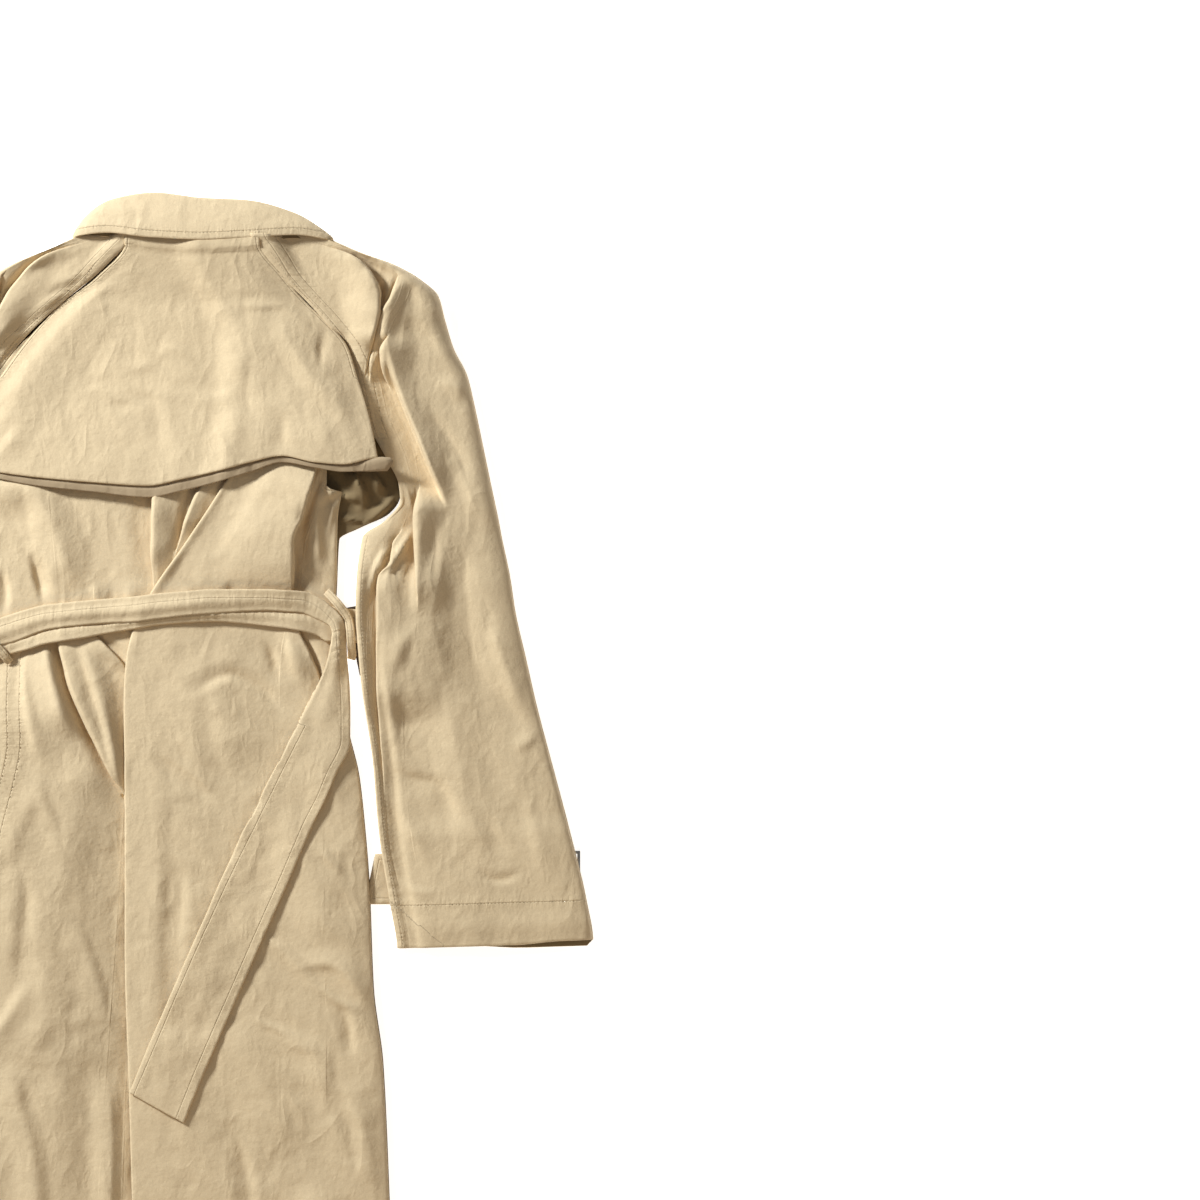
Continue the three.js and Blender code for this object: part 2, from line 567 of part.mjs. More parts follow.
const armhole = curve(FRONT_ARMHOLE, "y", "x");
const frontRight = (y) => (y > 162 ? armhole(y) : bodyRight(y) - 1);
const frontLeft = (y) => 2 * (y > 262 ? seamMiddle(y) : BODY_AXIS) - frontRight(y);
const frontDown = [0, ...FRONT_LEVELS.map((y) => (FRONT_NECK - y) / (FRONT_NECK - HEM)), 1];
const frontNeckX = (s) => mix(frontLeft(FRONT_NECK), seamMiddle(FRONT_NECK) + FRONT_OVERLAP, s);

// The fronts meet the collar's stand along its seam.
const collarSeam = curve(COLLAR, "turn", "seam");
function frontNeck(x) {
  const turn = (Math.acos(Math.min(1, Math.abs(x - COLLAR_MIDDLE) / COLLAR_HALF)) * 180) / Math.PI;
  return collarSeam(-turn) - 2 * CLEAR;
}

const outerFront = (x, y) => {
  const raised = smooth((FRONT_OVERLAP - Math.abs(x - seamMiddle(y))) / 12);
  return CLOTH / 2 + Math.max(neckLift(y), (BUTTON_THICK + CLEAR) * raised);
};

function makeFronts() {
  const outer = panelGrid({
    across: [0, 0.1, 0.2, 0.45, 0.7, 0.735, 0.79, 0.86, 0.93, 1],
    down: frontDown,
    left: frontLeft,
    right: (y) => seamMiddle(y) + FRONT_OVERLAP,
    top: (s) => frontNeck(frontNeckX(s)),
    bottom: () => HEM,
    height: outerFront,
  });
  add("front_left", clothWall(outer, CLOTH), cloth);

  const inner = panelGrid({
    across: [0, 0.15, 0.3, 0.36, 0.42, 0.5, 0.75, 0.9, 1],
    down: frontDown,
    left: (y) => seamMiddle(y) - FRONT_OVERLAP,
    right: frontRight,
    top: (s) => frontNeck(2 * seamMiddle(FRONT_NECK) - frontNeckX(1 - s)),
    bottom: () => HEM,
    height: (x, y) => {
      const over = smooth((seamMiddle(y) + FRONT_OVERLAP + 38 - x) / 28);
      return CLOTH / 2 + neckLift(y) + over * (BUTTON_THICK + CLOTH + 3 * CLEAR - 0.55 * neckLift(y));
    },
  });
  add("front_right", clothWall(inner, CLOTH), cloth);

  BUTTON_ROWS.forEach((y, i) => {
    const disc = new THREE.CylinderGeometry(BUTTON_RADIUS, BUTTON_RADIUS, BUTTON_THICK, 24);
    disc.rotateX(Math.PI / 2).translate(seamMiddle(y), y, BUTTON_THICK / 2);
    add(`button_${i + 1}`, disc, horn);
  });
}

// Backs: the wearer's right back folds over the left back in one long pleat that opens into the vent.

function makeBacks() {
  const leftGrid = panelGrid({
    across: [0, 0.03, 0.08, 0.15, 0.22, 0.29, 0.36, 0.43, 0.5, 0.57, 0.64, 0.71, 0.79, 0.9, 1],
    down: shares(34),
    left: (y) => bodyLeft(y) + 1.5,
    right: (y) => Math.min(ventEdge(y) + VENT_UNDERLAP, bodyRight(y) - 30),
    top: (s) => neckSeam(mix(-20, 92, s)) - 3,
    bottom: () => HEM,
    height: leftBackHeight,
  });
  add("back_left", clothWall(leftGrid, CLOTH), cloth);

  const rightGrid = panelGrid({
    across: [0, 0.06, 0.13, 0.21, 0.3, 0.39, 0.48, 0.57, 0.66, 0.75, 0.84, 0.92, 0.97, 1],
    down: shares(34),
    left: (y) => ventEdge(y) + TURN_RADIUS,
    right: (y) => bodyRight(y) - 1.5,
    top: (s) => neckSeam(mix(52, 98, s)) - 3,
    bottom: () => HEM,
    height: rightBackHeight,
  });
  add("back_right", clothWall(turnUnderLeft(rightGrid, 2 * TURN_RADIUS), CLOTH), cloth);
}

// Storm shield: a faced cape sewn in at the neck and raglan seams, free below them. Its facing shows under its hem.

function makeShield() {
  const columns = 20;
  const hemX = (s) => mix(-192, 214, s);
  const grid = panelGrid({
    across: shares(columns),
    down: [0, 0.08, 0.18, 0.28, 0.38, 0.48, 0.58, 0.68, 0.78, 0.88, 1],
    left: shieldLeft,
    right: shieldRight,
    top: (s) => neckSeam(mix(shieldLeft(538), shieldRight(538), s)) - 1,
    bottom: (s) => shieldHem(hemX(s)),
    height: shieldHeight,
  });
  add("storm_shield", clothWall(grid, STRAP), cloth);

  const drop = STRAP / 2 + CLOTH / 2 + 1.4 * CLEAR;
  const lowered = grid.slice(-2).map((row) => row.slice(1, -1).map((p) => p.clone().setZ(p.z - drop)));
  const hem = lowered[1].map((p, c) => {
    const s = (c + 1) / columns;
    return new THREE.Vector3(p.x, p.y - shieldHem(hemX(s)) + facingHem(hemX(s)) - 1, p.z - 1.5);
  });
  const start = lowered[0].map((p, c) => p.clone().lerp(lowered[1][c], 0.25));
  add("shield_facing", clothWall([start, lowered[1], hem], CLOTH), clothInside);
}

// Raglan sleeves: one piece each, wrapped round and lapped along the underarm seam, open at the cuff.

const SLEEVE_LEVELS = [
  541, 532, 521, 507, 492, 474, 457, 440, 422, 404, 386, 368, 350, 333, 316, 300, 286, 272, 258, 243, 222, 200, 178,
  156, 134, 108, 80, 52, 24, -4, -30, -52, -76, -97, -112, -131,
];
const SHOULDER = 440; // y below which the sleeve's sections are level
const sleeveRelief = reliefOf(SLEEVE_FOLDS);

// The section's height is level down the sleeve, but its top follows the collar's ring and its cuff is cut askew.
function sleeveY(y, limit, across) {
  const top = SLEEVE_LEVELS[0];
  const fitted = y > SHOULDER ? mix(SHOULDER, limit, (y - SHOULDER) / (top - SHOULDER)) : y;
  return fitted + 6 * across * smooth((30 - y) / 150);
}

function sleeveGrid(side) {
  const [inner, front, outer, seam, loft] = ["inner", "front", "outer", "seam", "loft"].map((name) =>
    curve(SLEEVE, "y", name),
  );
  const floor = (x, y) => CLOTH / 2 + Math.max(strapLift(y), neckLift(y), side > 0 ? buckleLift(x, y) : 0);
  const place = (x, y, z, across) =>
    new THREE.Vector3(side > 0 ? x : 2 * mix(seamMiddle(y), outerMiddle(y), across) - x, y, z);
  const upperAcross = shares(15).map((s) => 0.5 - 0.5 * Math.cos(Math.PI * s));
  const lowerAcross = [0.97, 0.75, 0.5, 0.25, 0];
  return SLEEVE_LEVELS.map((level) => {
    const upper = upperAcross.map((s) => {
      const y = sleeveY(level, mix(536.4, 539.4, s), s);
      const x = mix(inner(y), outer(y), s);
      const toOuter = Math.sqrt(1 - Math.max(0, 1 - (1 - s) * 7) ** 2);
      const toInner = Math.sqrt(1 - Math.max(0, 1 - s * 4) ** 2);
      const rise = mix(seam(y), loft(y), toInner) + sleeveRelief(x, y) * toInner;
      const z = floor(x, y) + 1.6 + Math.max(0.5, rise - 1.6) * toOuter;
      return place(x, y, z, s);
    });
    const lower = lowerAcross.map((s) => {
      const y = sleeveY(level, mix(518, 539.4, s), s);
      const x = mix(front(y), outer(y), s);
      return place(x, y, floor(x, y), s);
    });
    return side > 0 ? [...upper, ...lower] : [...upper, ...lower].reverse();
  });
}

function makeSleeves() {
  add("sleeve_right", clothWall(sleeveGrid(1), CLOTH), cloth);
  add("sleeve_left", clothWall(sleeveGrid(-1), CLOTH), cloth);
}

// A flat strap lying on the surface under each cuff, with the bar buckle that its end passes through.

function rectangle(shape, x0, y0, x1, y1) {
  return shape.moveTo(x0, y0).lineTo(x1, y0).lineTo(x1, y1).lineTo(x0, y1).closePath();
}

function makeCuffStraps() {
  const sides = [
    { name: "right", start: 204, end: 386 },
    { name: "left", start: -215, end: -392 },
  ];
  const [width, half, bar] = [16, 21, 3];
  const frame = rectangle(new THREE.Shape(), 0, -half, width, half);
  frame.holes.push(rectangle(new THREE.Path(), bar, -half + bar, width - bar, half - bar));
  for (const { name, start, end } of sides) {
    const strap = [start, end].sort((a, b) => b - a).map((x) =>
      [-1, 1].map((edge) => new THREE.Vector3(x, CUFF_STRAP_Y + edge * CUFF_STRAP_HALF, STRAP / 2)),
    );
    add(`cuff_strap_${name}`, clothWall(strap, STRAP), cloth);
    const buckle = new THREE.ExtrudeGeometry(frame, { depth: STRAP, bevelEnabled: false });
    buckle.rotateZ(end < 0 ? Math.PI : 0).translate(end + 2 * Math.sign(end), CUFF_STRAP_Y + 6, 0);
    add(`cuff_buckle_${name}`, buckle, metal);
  }
}

// Collar: a stand that rises from the neck seam and a leaf that falls from it, both bent round the neck. In front
// both lie flat, the leaf on the surface.

function collarPoint(turn, y, out, floor) {
  const angle = (turn * Math.PI) / 180;
  const depth = Math.sin(angle) > 0 ? COLLAR_RISE : COLLAR_DIP;
  const x = COLLAR_MIDDLE + (COLLAR_HALF + out) * Math.cos(angle);
  return new THREE.Vector3(x, y, Math.max(floor, COLLAR_SIDE + (depth + out) * Math.sin(angle)));
}

function makeCollar() {
  const [seam, roll, free, lift] = ["seam", "roll", "free", "lift"].map((name) => curve(COLLAR, "turn", name));
  const turns = shares(34).map((t) => mix(-78, 258, t));
  const gap = STRAP / 2 + CLOTH / 2 + 1.4 * CLEAR;
  const stand = turns.map((turn) =>
    [0, 0.5, 1].map((s) => collarPoint(turn, mix(seam(turn), roll(turn) - 1, s), 0, STRAP + CLEAR + CLOTH / 2)),
  );
  const leaf = turns.map((turn) =>
    shares(4).map((s) => collarPoint(turn, mix(roll(turn), free(turn), s), gap + lift(turn) * s, STRAP / 2)),
  );
  add("collar_stand", clothWall(stand, CLOTH), cloth);
  add("collar_leaf", clothWall(leaf, STRAP), cloth);
}

// Belt: one stitched strap, gathered so that it lies narrower over the back than its full width at its free end.

function makeBelt() {
  const across = shares(4);
  const reach = 11;
  const raw = BELT.map((row) =>
    across.map((s) => {
      const x = mix(row.upX, row.downX, s);
      const y = mix(row.upY, row.downY, s);
      return new THREE.Vector3(x, y, backTop(x, y, reach) + CLEAR + STRAP / 2);
    }),
  );
  const heights = raw.map((row, r) =>
    row.map((_, c) => {
      const near = raw.slice(Math.max(0, r - 1), r + 2).flatMap((other) => other.slice(Math.max(0, c - 1), c + 2));
      const mean = near.reduce((sum, p) => sum + p.z, 0) / near.length;
      return Math.max(raw[r][c].z, mean) + BELT[r].level * (STRAP + CLEAR);
    }),
  );
  const grid = raw.map((row, r) => row.map((p, c) => new THREE.Vector3(p.x, p.y, heights[r][c])));
  add("belt", clothWall(grid, STRAP), cloth);

  const frame = rectangle(new THREE.Shape(), -3, -33, 42, 33);
  frame.holes.push(rectangle(new THREE.Path(), 3, -28, 37, -2));
  frame.holes.push(rectangle(new THREE.Path(), 3, 2, 37, 28));
  const buckle = new THREE.ExtrudeGeometry(frame, { depth: 3, bevelEnabled: false });
  buckle.rotateZ((12 * Math.PI) / 180).translate(190, 161, 0);
  add("belt_buckle", buckle, metal);
}

function makeLoops() {
  for (const [name, path] of [["right", LOOP_RIGHT], ["left", LOOP_LEFT]]) {
    const grid = path.map((point, i) => {
      const before = path[Math.max(0, i - 1)];
      const after = path[Math.min(path.length - 1, i + 1)];
      const along = new THREE.Vector2(after.x - before.x, after.y - before.y).normalize();
      const z = backTop(point.x, point.y, 6) + CLEAR + CLOTH / 2 + point.lift;
      return [-0.5, 0.5].map(
        (s) => new THREE.Vector3(point.x - along.y * LOOP_WIDTH * s, point.y + along.x * LOOP_WIDTH * s, z),
      );
    });
    add(`belt_loop_${name}`, clothWall(grid, CLOTH), cloth);
  }
}

makeFronts();
makeBacks();
makeShield();
makeSleeves();
makeCuffStraps();
makeCollar();
makeBelt();
makeLoops();

export default coat;
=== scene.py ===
import math

import bmesh
import bpy
import numpy as np
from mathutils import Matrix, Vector


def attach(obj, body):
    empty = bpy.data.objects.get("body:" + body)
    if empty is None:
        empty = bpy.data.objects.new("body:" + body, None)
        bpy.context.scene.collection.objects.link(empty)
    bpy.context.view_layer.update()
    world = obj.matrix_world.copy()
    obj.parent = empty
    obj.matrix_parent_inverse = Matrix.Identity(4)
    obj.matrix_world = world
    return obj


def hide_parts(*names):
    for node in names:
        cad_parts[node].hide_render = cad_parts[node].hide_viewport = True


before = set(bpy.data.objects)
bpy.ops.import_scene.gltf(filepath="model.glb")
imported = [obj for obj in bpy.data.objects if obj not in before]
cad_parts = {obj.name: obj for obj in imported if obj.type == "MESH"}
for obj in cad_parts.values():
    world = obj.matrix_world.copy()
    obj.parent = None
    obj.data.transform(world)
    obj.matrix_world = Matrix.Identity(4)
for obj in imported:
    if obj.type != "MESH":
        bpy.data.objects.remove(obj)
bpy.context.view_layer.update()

# A trench coat laid face down. Lengths are millimetres until a mesh is made; MM turns them into metres.

MM = 0.001
CLOTH = 0.9  # one layer of gabardine with its turnings
STRAP = 1.3  # belt, straps and faced hems
CLEAR = 0.5
HEM = -585
BODY_AXIS = -4.75
VENT_UNDERLAP = 42
TURN_DEPTH = 20
TURN_RADIUS = 1.7
LAP = 5.5  # how far the right back is raised where it folds over the left back
FRONT_OVERLAP = 34
NECK_LIFT = 2.7
FRONT_NECK = 518.6
BUTTON_RADIUS = 11
BUTTON_THICK = 2.4
CUFF_STRAP_Y = -65.5
CUFF_STRAP_HALF = 23.5
CUFF_HEM = 43  # height of the cuff's turned hem
BELT_WIDTH = 58
THREAD = 0.45


# Tables


def table(text):
    lines = text.strip().split("\n")
    names = lines[0].split()
    values = np.array([[float(word) for word in line.split()] for line in lines[1:]])
    return {name: values[:, i] for i, name in enumerate(names)}


SLEEVE = table("""
y inner front outer seam loft
541 103 117 165 21 20
537 103.5 117 176 19 19
528 110 117 198 14.5 18
518 117 119 227 11 17
504 126 130 252 9.4 16
488 141 146 269 9.2 15
466 163 169 275 9.2 14
440 184 191 283 9 13
414 194 201 296 8 12
390 199 206 302 7.5 12
362 206 214 308 7 12
333 221 231 314 6.5 12
309 232 237 319 6 12
295 233 235 322 5 12
276 219 221 326 4 11
260 197 197 329 2.9 10
222 192 192 337 2.9 10
189 191 191 342 2.9 9
145 194 194 352 2.9 8
101 199 199 362 2.9 7
44 207 207 377 2.9 7
-5 211 211 390 2.9 7
-37 215 215 398 2.9 6.5
-84 223 223 409 2.9 6.5
-131 230 230 416.1 2.9 8
""")

MIDDLE = table("""
y seam outer
541 38 46
504 32 46
440 24 28
390 14 14
333 2 2
276 -4.75 -4.75
44 -4.75 -4.75
-37 -3 -3
-131 0 0
""")

BODY_SIDE = table("""
y x
540 98
506 121
480 144
466 158
440 180
414 190
390 194
343 187
305 179
276 174.5
217 173
162 171
115 178
76 184
34 194
-9 199
-71 204
-170 208
-241 217
-370 223
-585 231
""")

FRONT_ARMHOLE = table("""
y x
520 114
504 127
488 143
466 166
440 188
414 198
390 203
362 211
333 228
309 234
295 231
282 221
269 194
258 174
217 172
162 170
""")

VENT_EDGE = table("""
y x
533 52
440 92
390 90
338 81
307 64
252 28
204 -5
176 -19
141 -27
105 -29
20 -28
-128 -28
-265 -24
-370 -21
-585 -14
""")

SHIELD_EDGES = table("""
y left right
538 -26 101
506 -54 123
480 -90 146
466 -104 161
440 -126 183
412 -146 192
387 -162 200
360 -177 207
330 -190 213
300 -200 222
""")

SHIELD_HEM = table("""
x shield facing stand
-192 333 333 2
-147 322 316 5
-109 317 309 7
-54 312 303 7
-5 309 298 6
26 315 304 8
62 323 313 7
92 331 322 5
123 337 331 5
153 331 326 7
180 329 322 8
214 335 323 9
""")

NECK = table("""
x y
-52 546
-27 540
5 535
38 533
76 534
102 537
124 542
""")

COLLAR = table("""
turn seam roll free lift
-78 506 529 487 0.6
-55 519 534 494 0.6
-38 527 537 524 0.6
-22 535 540 538 1
0 540 543.5 541 2
20 542 551 542 3.5
45 542.5 567 545.5 5
70 535.5 578 543 6.5
90 533.5 580 541 6.5
112 535.5 585 543 6.5
135 543.5 579 547.5 6
158 546 562 545 5
180 541 545 541 2
202 535 540 538 1
218 527 537 524 0.6
235 519 534 494 0.6
258 506 529 487 0.6
""")
COLLAR_MIDDLE = 46.5
COLLAR_HALF = 118
COLLAR_RISE = 10
COLLAR_DIP = 22
COLLAR_SIDE = 13.5

BELT = table("""
upX upY downX downY level
200 188 204 160 1.2
188 191 191 160 1.2
178 192 179 160 0.5
166 194 165 160 0
156 195 154 166 0
141 196 141 170 0
124 197 124 173 0
107 198 107 175 0
82 197 82 178 0
56 195 56 180 0
30 193 30 179 0
5 190 5 177 0
-19 187 -19 173 0
-43 185 -43 169 0
-67 184 -67 164 0
-86 182 -86 161 0
-104 179 -104 158 0
-120 173 -120 153 0
-136 168 -136 149 0
-152 164 -152 143 0
-166 160 -166 140 0
-170.4 163 -170.4 142 0.5
-166 168 -166 146 1
-152 180 -152 155 1
-136 186 -136 159 1
-120 191 -120 165 1
-104 195 -104 171 1
-86 197 -86 174 1
-67 199 -67 176 1
-43 201 -43 178 1
-19 203 -19 179 1
5 206 5 182 1
30 208 30 185 1
56 210 56 187 1
82 210 82 189 1
107 210 107 190 1
124 209 124 189 1
141 208 139 188 1
156 202 152 183 1
167 194 161 179 1.2
178 182 167 175 1.8
181 170 169 168 2
181.5 158 167 155 1.8
182 146 163 140 1.2
184 122 155 121 0
185 94 145 102 0
185 65 134 80 0
172 36 115 42 0
162 12 105 22 0
150 -12 95 2 0
138 -40 82 -24 0
126 -68 70 -48 0
113 -97 59 -71 0
100 -126 49 -93 0
86 -158 34 -126 0
72 -190 20 -158 0
59 -220 7 -188 0
46 -250 -6 -219 0
28 -295 -26 -265 0
""")

LOOP_WIDTH = 7
LOOP_RIGHT = table("""
x y lift
163 208 0
169 202 4
177 193 9
184 181 11
186 169 13
186.5 158 11
187 150 6
186 144 2
""")
LOOP_LEFT = table("""
x y lift
-178 186 0
-174 180 5
-168 173 9.5
-158 164 9.5
-149 156 9
-144 151 7.5
-140.5 146 4.6
-137 141.5 0
""")


# Creases: height, width on its -X or lower side, width on its +X or upper side, roundness of the crest, and then
# the points it runs through. A negative height is a trough, and a narrow side is a steep one.


def rounded_path(points, step=9.0):
    """Points about step apart on a smooth line through the given ones."""
    if len(points) < 3:
        return points
    ends = np.vstack([2 * points[0] - points[1], points, 2 * points[-1] - points[-2]])
    path = [points[0]]
    for a, b, c, d in zip(ends[:-3], ends[1:-2], ends[2:-1], ends[3:]):
        count = max(2, int(np.linalg.norm(c - b) / step) + 1)
        for t in np.linspace(0, 1, count + 1)[1:]:
            path.append(
                0.5 * (2 * b + (c - a) * t + (2 * a - 5 * b + 4 * c - d) * t * t + (3 * b - a - 3 * c + d) * t**3)
            )
    return np.array(path)


def creases(text):
    rows = []
    for line in text.strip().split("\n"):
        sizes, path = line.split("|")
        points = np.array([float(word) for word in path.split()]).reshape(-1, 2)
        rows.append((*[float(word) for word in sizes.split()], rounded_path(points)))
    return rows


LEFT_BACK = creases("""
7 3.2 30 0.2 | 3 318  0 290  0 262  1 236  4 214
-5 7 3.9 0.4 | 36 318  33 298  25 276
5 4.5 8 0.3 | 46 316  38 288  22 252
8 34 26 0.2 | -172 318  -147 311  -114 300  -92 262  -76 200
-6 5.9 13 0.3 | -119 250  -112 224  -104 190
4 6.5 14 0.3 | -60 222  -56 204  -54 180
-3 5.2 10 0.3 | -44 216  -41 196  -40 176
4 5.9 12 0.3 | -26 218  -24 200  -26 178
4 8.5 22 0.2 | -116 168  -122 132  -116 86  -102 34
10 22 13 0.2 | -107 172  -98 132  -87 96  -74 64
8 7.8 15 0.2 | -72 168  -55 120  -41 70  -31 8
4 20 13 .3 | -104 40  -114 10  -130 -22  -144 -56
5 12 7 .2 | -112 38  -102 6  -90 -24  -84 -50
-4 5 9 .2 | -70 96  -66 80  -56 60
-4 4.5 9 0.3 | -104 -8  -92 -22  -80 -40
4 28 30 0.3 | -54 66  -64 28  -84 -50  -95 -117  -104 -190  -108 -246
5 20 7 0.2 | -78 -96  -66 -125  -51 -170  -41 -214
6 9.1 17 0.2 | -164 -230  -147 -209  -110 -152
7 22 11.7 0.2 | -136 -236  -126 -276  -113 -330  -108 -392  -112 -450
-5 26 15.6 0.4 | -58 -224  -66 -300  -60 -392
6 18 10.4 0.3 | -44 -250  -40 -330  -46 -420
5 20 11.7 0.3 | -140 -60  -132 -110  -140 -168
-4 6.5 12 0.3 | -126 -40  -120 -84  -124 -128
6 24 14.3 0.3 | -186 -20  -204 -150  -212 -300
5 22 14.3 0.3 | -178 -120  -170 -250  -182 -380
8 30 28 0.3 | -74 -400  -66 -500  -60 -620
8 32 28 0.3 | -165 -376  -172 -480  -178 -620
5 13 24 0.3 | -206 -380  -214 -500  -220 -620
6 24 14.3 0.3 | -200 304  -170 268  -150 236
-5 10 6.5 0.3 | -148 232  -142 206  -146 180
5 7.8 14 0.3 | -160 150  -166 110  -158 50
""")

RIGHT_BACK = creases("""
9 74 4.5 0.1 | 162 336  142 288  130 250  130 200
5 12 7.8 0.3 | 160 318  153 290  155 250  157 216
5 6.5 14 0.3 | 150 288  166 302  184 312
-4 4.5 8 0.3 | 140 300  139 262  142 226
3 40 40 0.4 | 118 300  80 240  50 200
4 16 10.4 0.3 | 20 224  34 196  36 176
-4 4 3 0.2 | 162 320  162.5 304  166 294  171 295  178 305
4.5 3.2 6 0.2 | 172 300  168 282  164 262
4 3.9 10 0.2 | 176 302  174 284  170 250  170 222
-4.5 6.5 12 0.3 | 74 222  70 198  72 178
-5 9 5.9 0.2 | 135 180  146 152  156 124  166 92
6 12 7.2 0.2 | 124 176  130 152  144 110
-5 8 5.2 0.3 | 100 168  112 148  118 118
-4.5 6.5 14 0.3 | 30 104  43 117  70 129  99 116  132 86
-3.8 12 7.8 0.4 | -16 62  2 50  30 30  64 4
4 46 50 0.4 | 24 150  60 96  78 30
3 26 16.9 0.4 | -2 60  0 -60  -4 -200  0 -330
-4.5 18 11.7 0.4 | 24 -40  18 -140  26 -250
4 30 26 0.4 | 130 -6  150 -70  170 -140
5 8.5 16 0.2 | 128 -156  142 -148  169 -146  190 -164  212 -196
4 7.8 14 0.2 | 104 -210  128 -220  155 -234  160 -284
4 8 5 .2 | 96 -112  124 -134  150 -160  176 -182  206 -190
3 5 8 .2 | 148 -28  165 -46  182 -64
-3 4 6 .2 | -28 -134  -14 -124  4 -121
-3 4 7 .2 | -28 -192  -16 -180  2 -170
3 4 7 .2 | 86 -196  112 -206  146 -224
-4.5 12 7.8 0.3 | 170 -176  184 -206  186 -240
5 40 34 0.3 | 70 -190  104 -260  132 -330
4 11.7 20 0.3 | 176 -250  196 -300  206 -372
-4.5 16 10.4 0.3 | 60 -290  86 -340  90 -400
8 34 30 0.3 | 56 -390  62 -480  68 -620
8 30 30 0.3 | 150 -350  160 -460  170 -620
5 22 13 0.3 | 8 -380  14 -480  20 -620
-4 20 13 0.3 | 108 -400  112 -500  118 -620
5 20 13 0.3 | 196 -400  206 -500  214 -620
""")

SHIELD = creases("""
5 15.6 26 0.2 | 118 484  126 450  150 412  196 366
-5 5.9 12 0.3 | 176 474  164 456  158 438  160 414
4 6.5 14 0.2 | 182 462  172 452  166 440
2.4 3.9 9 0.2 | 70 482  98 478  136 480
2 34 30 0.3 | 112 470  88 430  60 392
-2.5 20 13 0.4 | 96 440  88 400  96 362
4 46 34 0.3 | -44 500  -92 440  -160 350
2 40 46 0.4 | 40 440  16 392  -14 334
2 6.5 12 0.3 | -42 430  -20 420  8 424
1.6 5.2 10 0.3 | -32 406  -6 398  20 386
1.6 5.2 9 0.3 | 0 446  24 436  40 424
-1.8 10 6.5 0.3 | -56 396  -34 384  -8 386
2 14 7.8 0.3 | 44 404  58 392  82 398
-3 10.4 18 0.3 | -130 400  -150 376  -176 352
3 9.1 16 0.3 | -118 372  -134 352  -160 326
2.4 18 11.7 0.3 | 150 380  166 352  176 330
-2.4 14 9.1 0.3 | 126 384  122 356  128 332
""")

SLEEVE_RIGHT = creases("""
5 16 5.9 0.2 | 150 544  190 530  236 510  272 486
-5 9.1 16 0.3 | 186 520  214 508  244 496
7 34 4 0.1 | 176 530  193 515  206 500  212 482  212 468  205 436  198 396
8 3.2 44 0.1 | 238 500  222 478  211 458  203 424  198 392
-4 10 5.2 0.3 | 222 506  216 488  212 470
5.5 5.9 42 0.1 | 214 474  224 432  234 396  257 324  280 286
5 7 4.5 0.2 | 212 442  206 420  200 388
-6 12 6.5 0.3 | 214 430  222 396  234 350  240 318
-3 20 13 0.3 | 226 464  252 452  286 438
5 6 3 0.1 | 236 322  240 304  246 282
-4 3.2 6 0.2 | 246 318  248 300  250 284
5 7 3 0.1 | 250 276  236 252  224 230  220 196
4 6 3 0.1 | 246 252  238 236  230 214  229 180
3 22 11.7 0.3 | 244 476  266 448  292 424
-3 18 9.1 0.3 | 256 384  280 352  292 330  298 286
4 10.4 18 0.2 | 282 344  296 310  312 266
3 16 10.4 0.3 | 262 410  286 402  304 392
7 3.2 26 0.1 | 252 366  251 320  251 266  250 222  246 176
-3 14 6.5 0.3 | 262 286  266 252  262 220
4 13 22 0.2 | 286 290  274 240  266 196  258 168
6 5.2 9 0.2 | 246 268  232 246  216 220
-5 3.9 7 0.3 | 234 262  222 240  210 212
5 4.5 8 0.2 | 226 256  212 236  204 208
-4 3.9 7 0.3 | 220 232  208 210  202 186
5.5 26 32 0.2 | 256 196  264 176  276 123  286 58  297 4  318 -42
5 14 9.1 0.2 | 250 182  236 158  226 128
-3.5 26 14 0.3 | 290 262  296 204  302 145  330 104  366 66
5 11.7 24 0.2 | 316 190  332 140  356 84
-4 18 9.1 0.3 | 214 44  240 31  272 22  288 -26
5 9.1 18 0.2 | 218 26  232 4  252 -34  262 -58
4 18 10.4 0.3 | 216 132  226 90  228 56
-3 14 9.1 0.3 | 306 0  322 -22  340 -46
3 10.4 18 0.3 | 350 30  362 -20  372 -80
-3 4.5 9 0.3 | 300 -54  326 -67  356 -56
3 10 6.5 0.3 | 232 -60  246 -74  270 -78
3 6.5 12 0.3 | 366 78  356 66  338 56
""")

SLEEVE_LEFT = creases("""
5 14 5.9 0.2 | -60 540  -92 530  -130 518  -166 496
-5 15 9.1 0.3 | -72 527  -104 512  -132 496  -164 470
3 3.9 7 0.2 | -56 506  -78 499  -100 488
3 3.9 7 0.2 | -66 492  -88 486  -112 470
-3 3.9 7 0.3 | -62 500  -86 492  -108 478
4 14 9.1 0.3 | -118 478  -146 452  -170 420
7 30 4.5 0.2 | -150 470  -168 440  -186 400  -200 360
6 40 5.9 0.2 | -170 440  -200 400  -226 350  -252 296
-5 12 7.8 0.3 | -176 424  -190 392  -206 350
7 24 4.5 0.2 | -262 300  -262 260  -262 200
6 22 14.3 0.2 | -292 290  -282 230  -270 178
5 9 5.9 0.2 | -244 262  -228 236  -214 206
-4 8 5.2 0.3 | -232 252  -218 224  -208 194
7 30 26 0.2 | -272 184  -286 116  -298 50  -318 -30
-5 11.7 24 0.3 | -304 250  -314 150  -344 76
4 22 11.7 0.2 | -330 190  -352 130  -376 66
-4 9.1 16 0.3 | -226 46  -256 28  -292 -20
5 16 9.1 0.2 | -232 20  -252 -20  -266 -60
3 16 10.4 0.3 | -356 20  -372 -30  -380 -84
""")

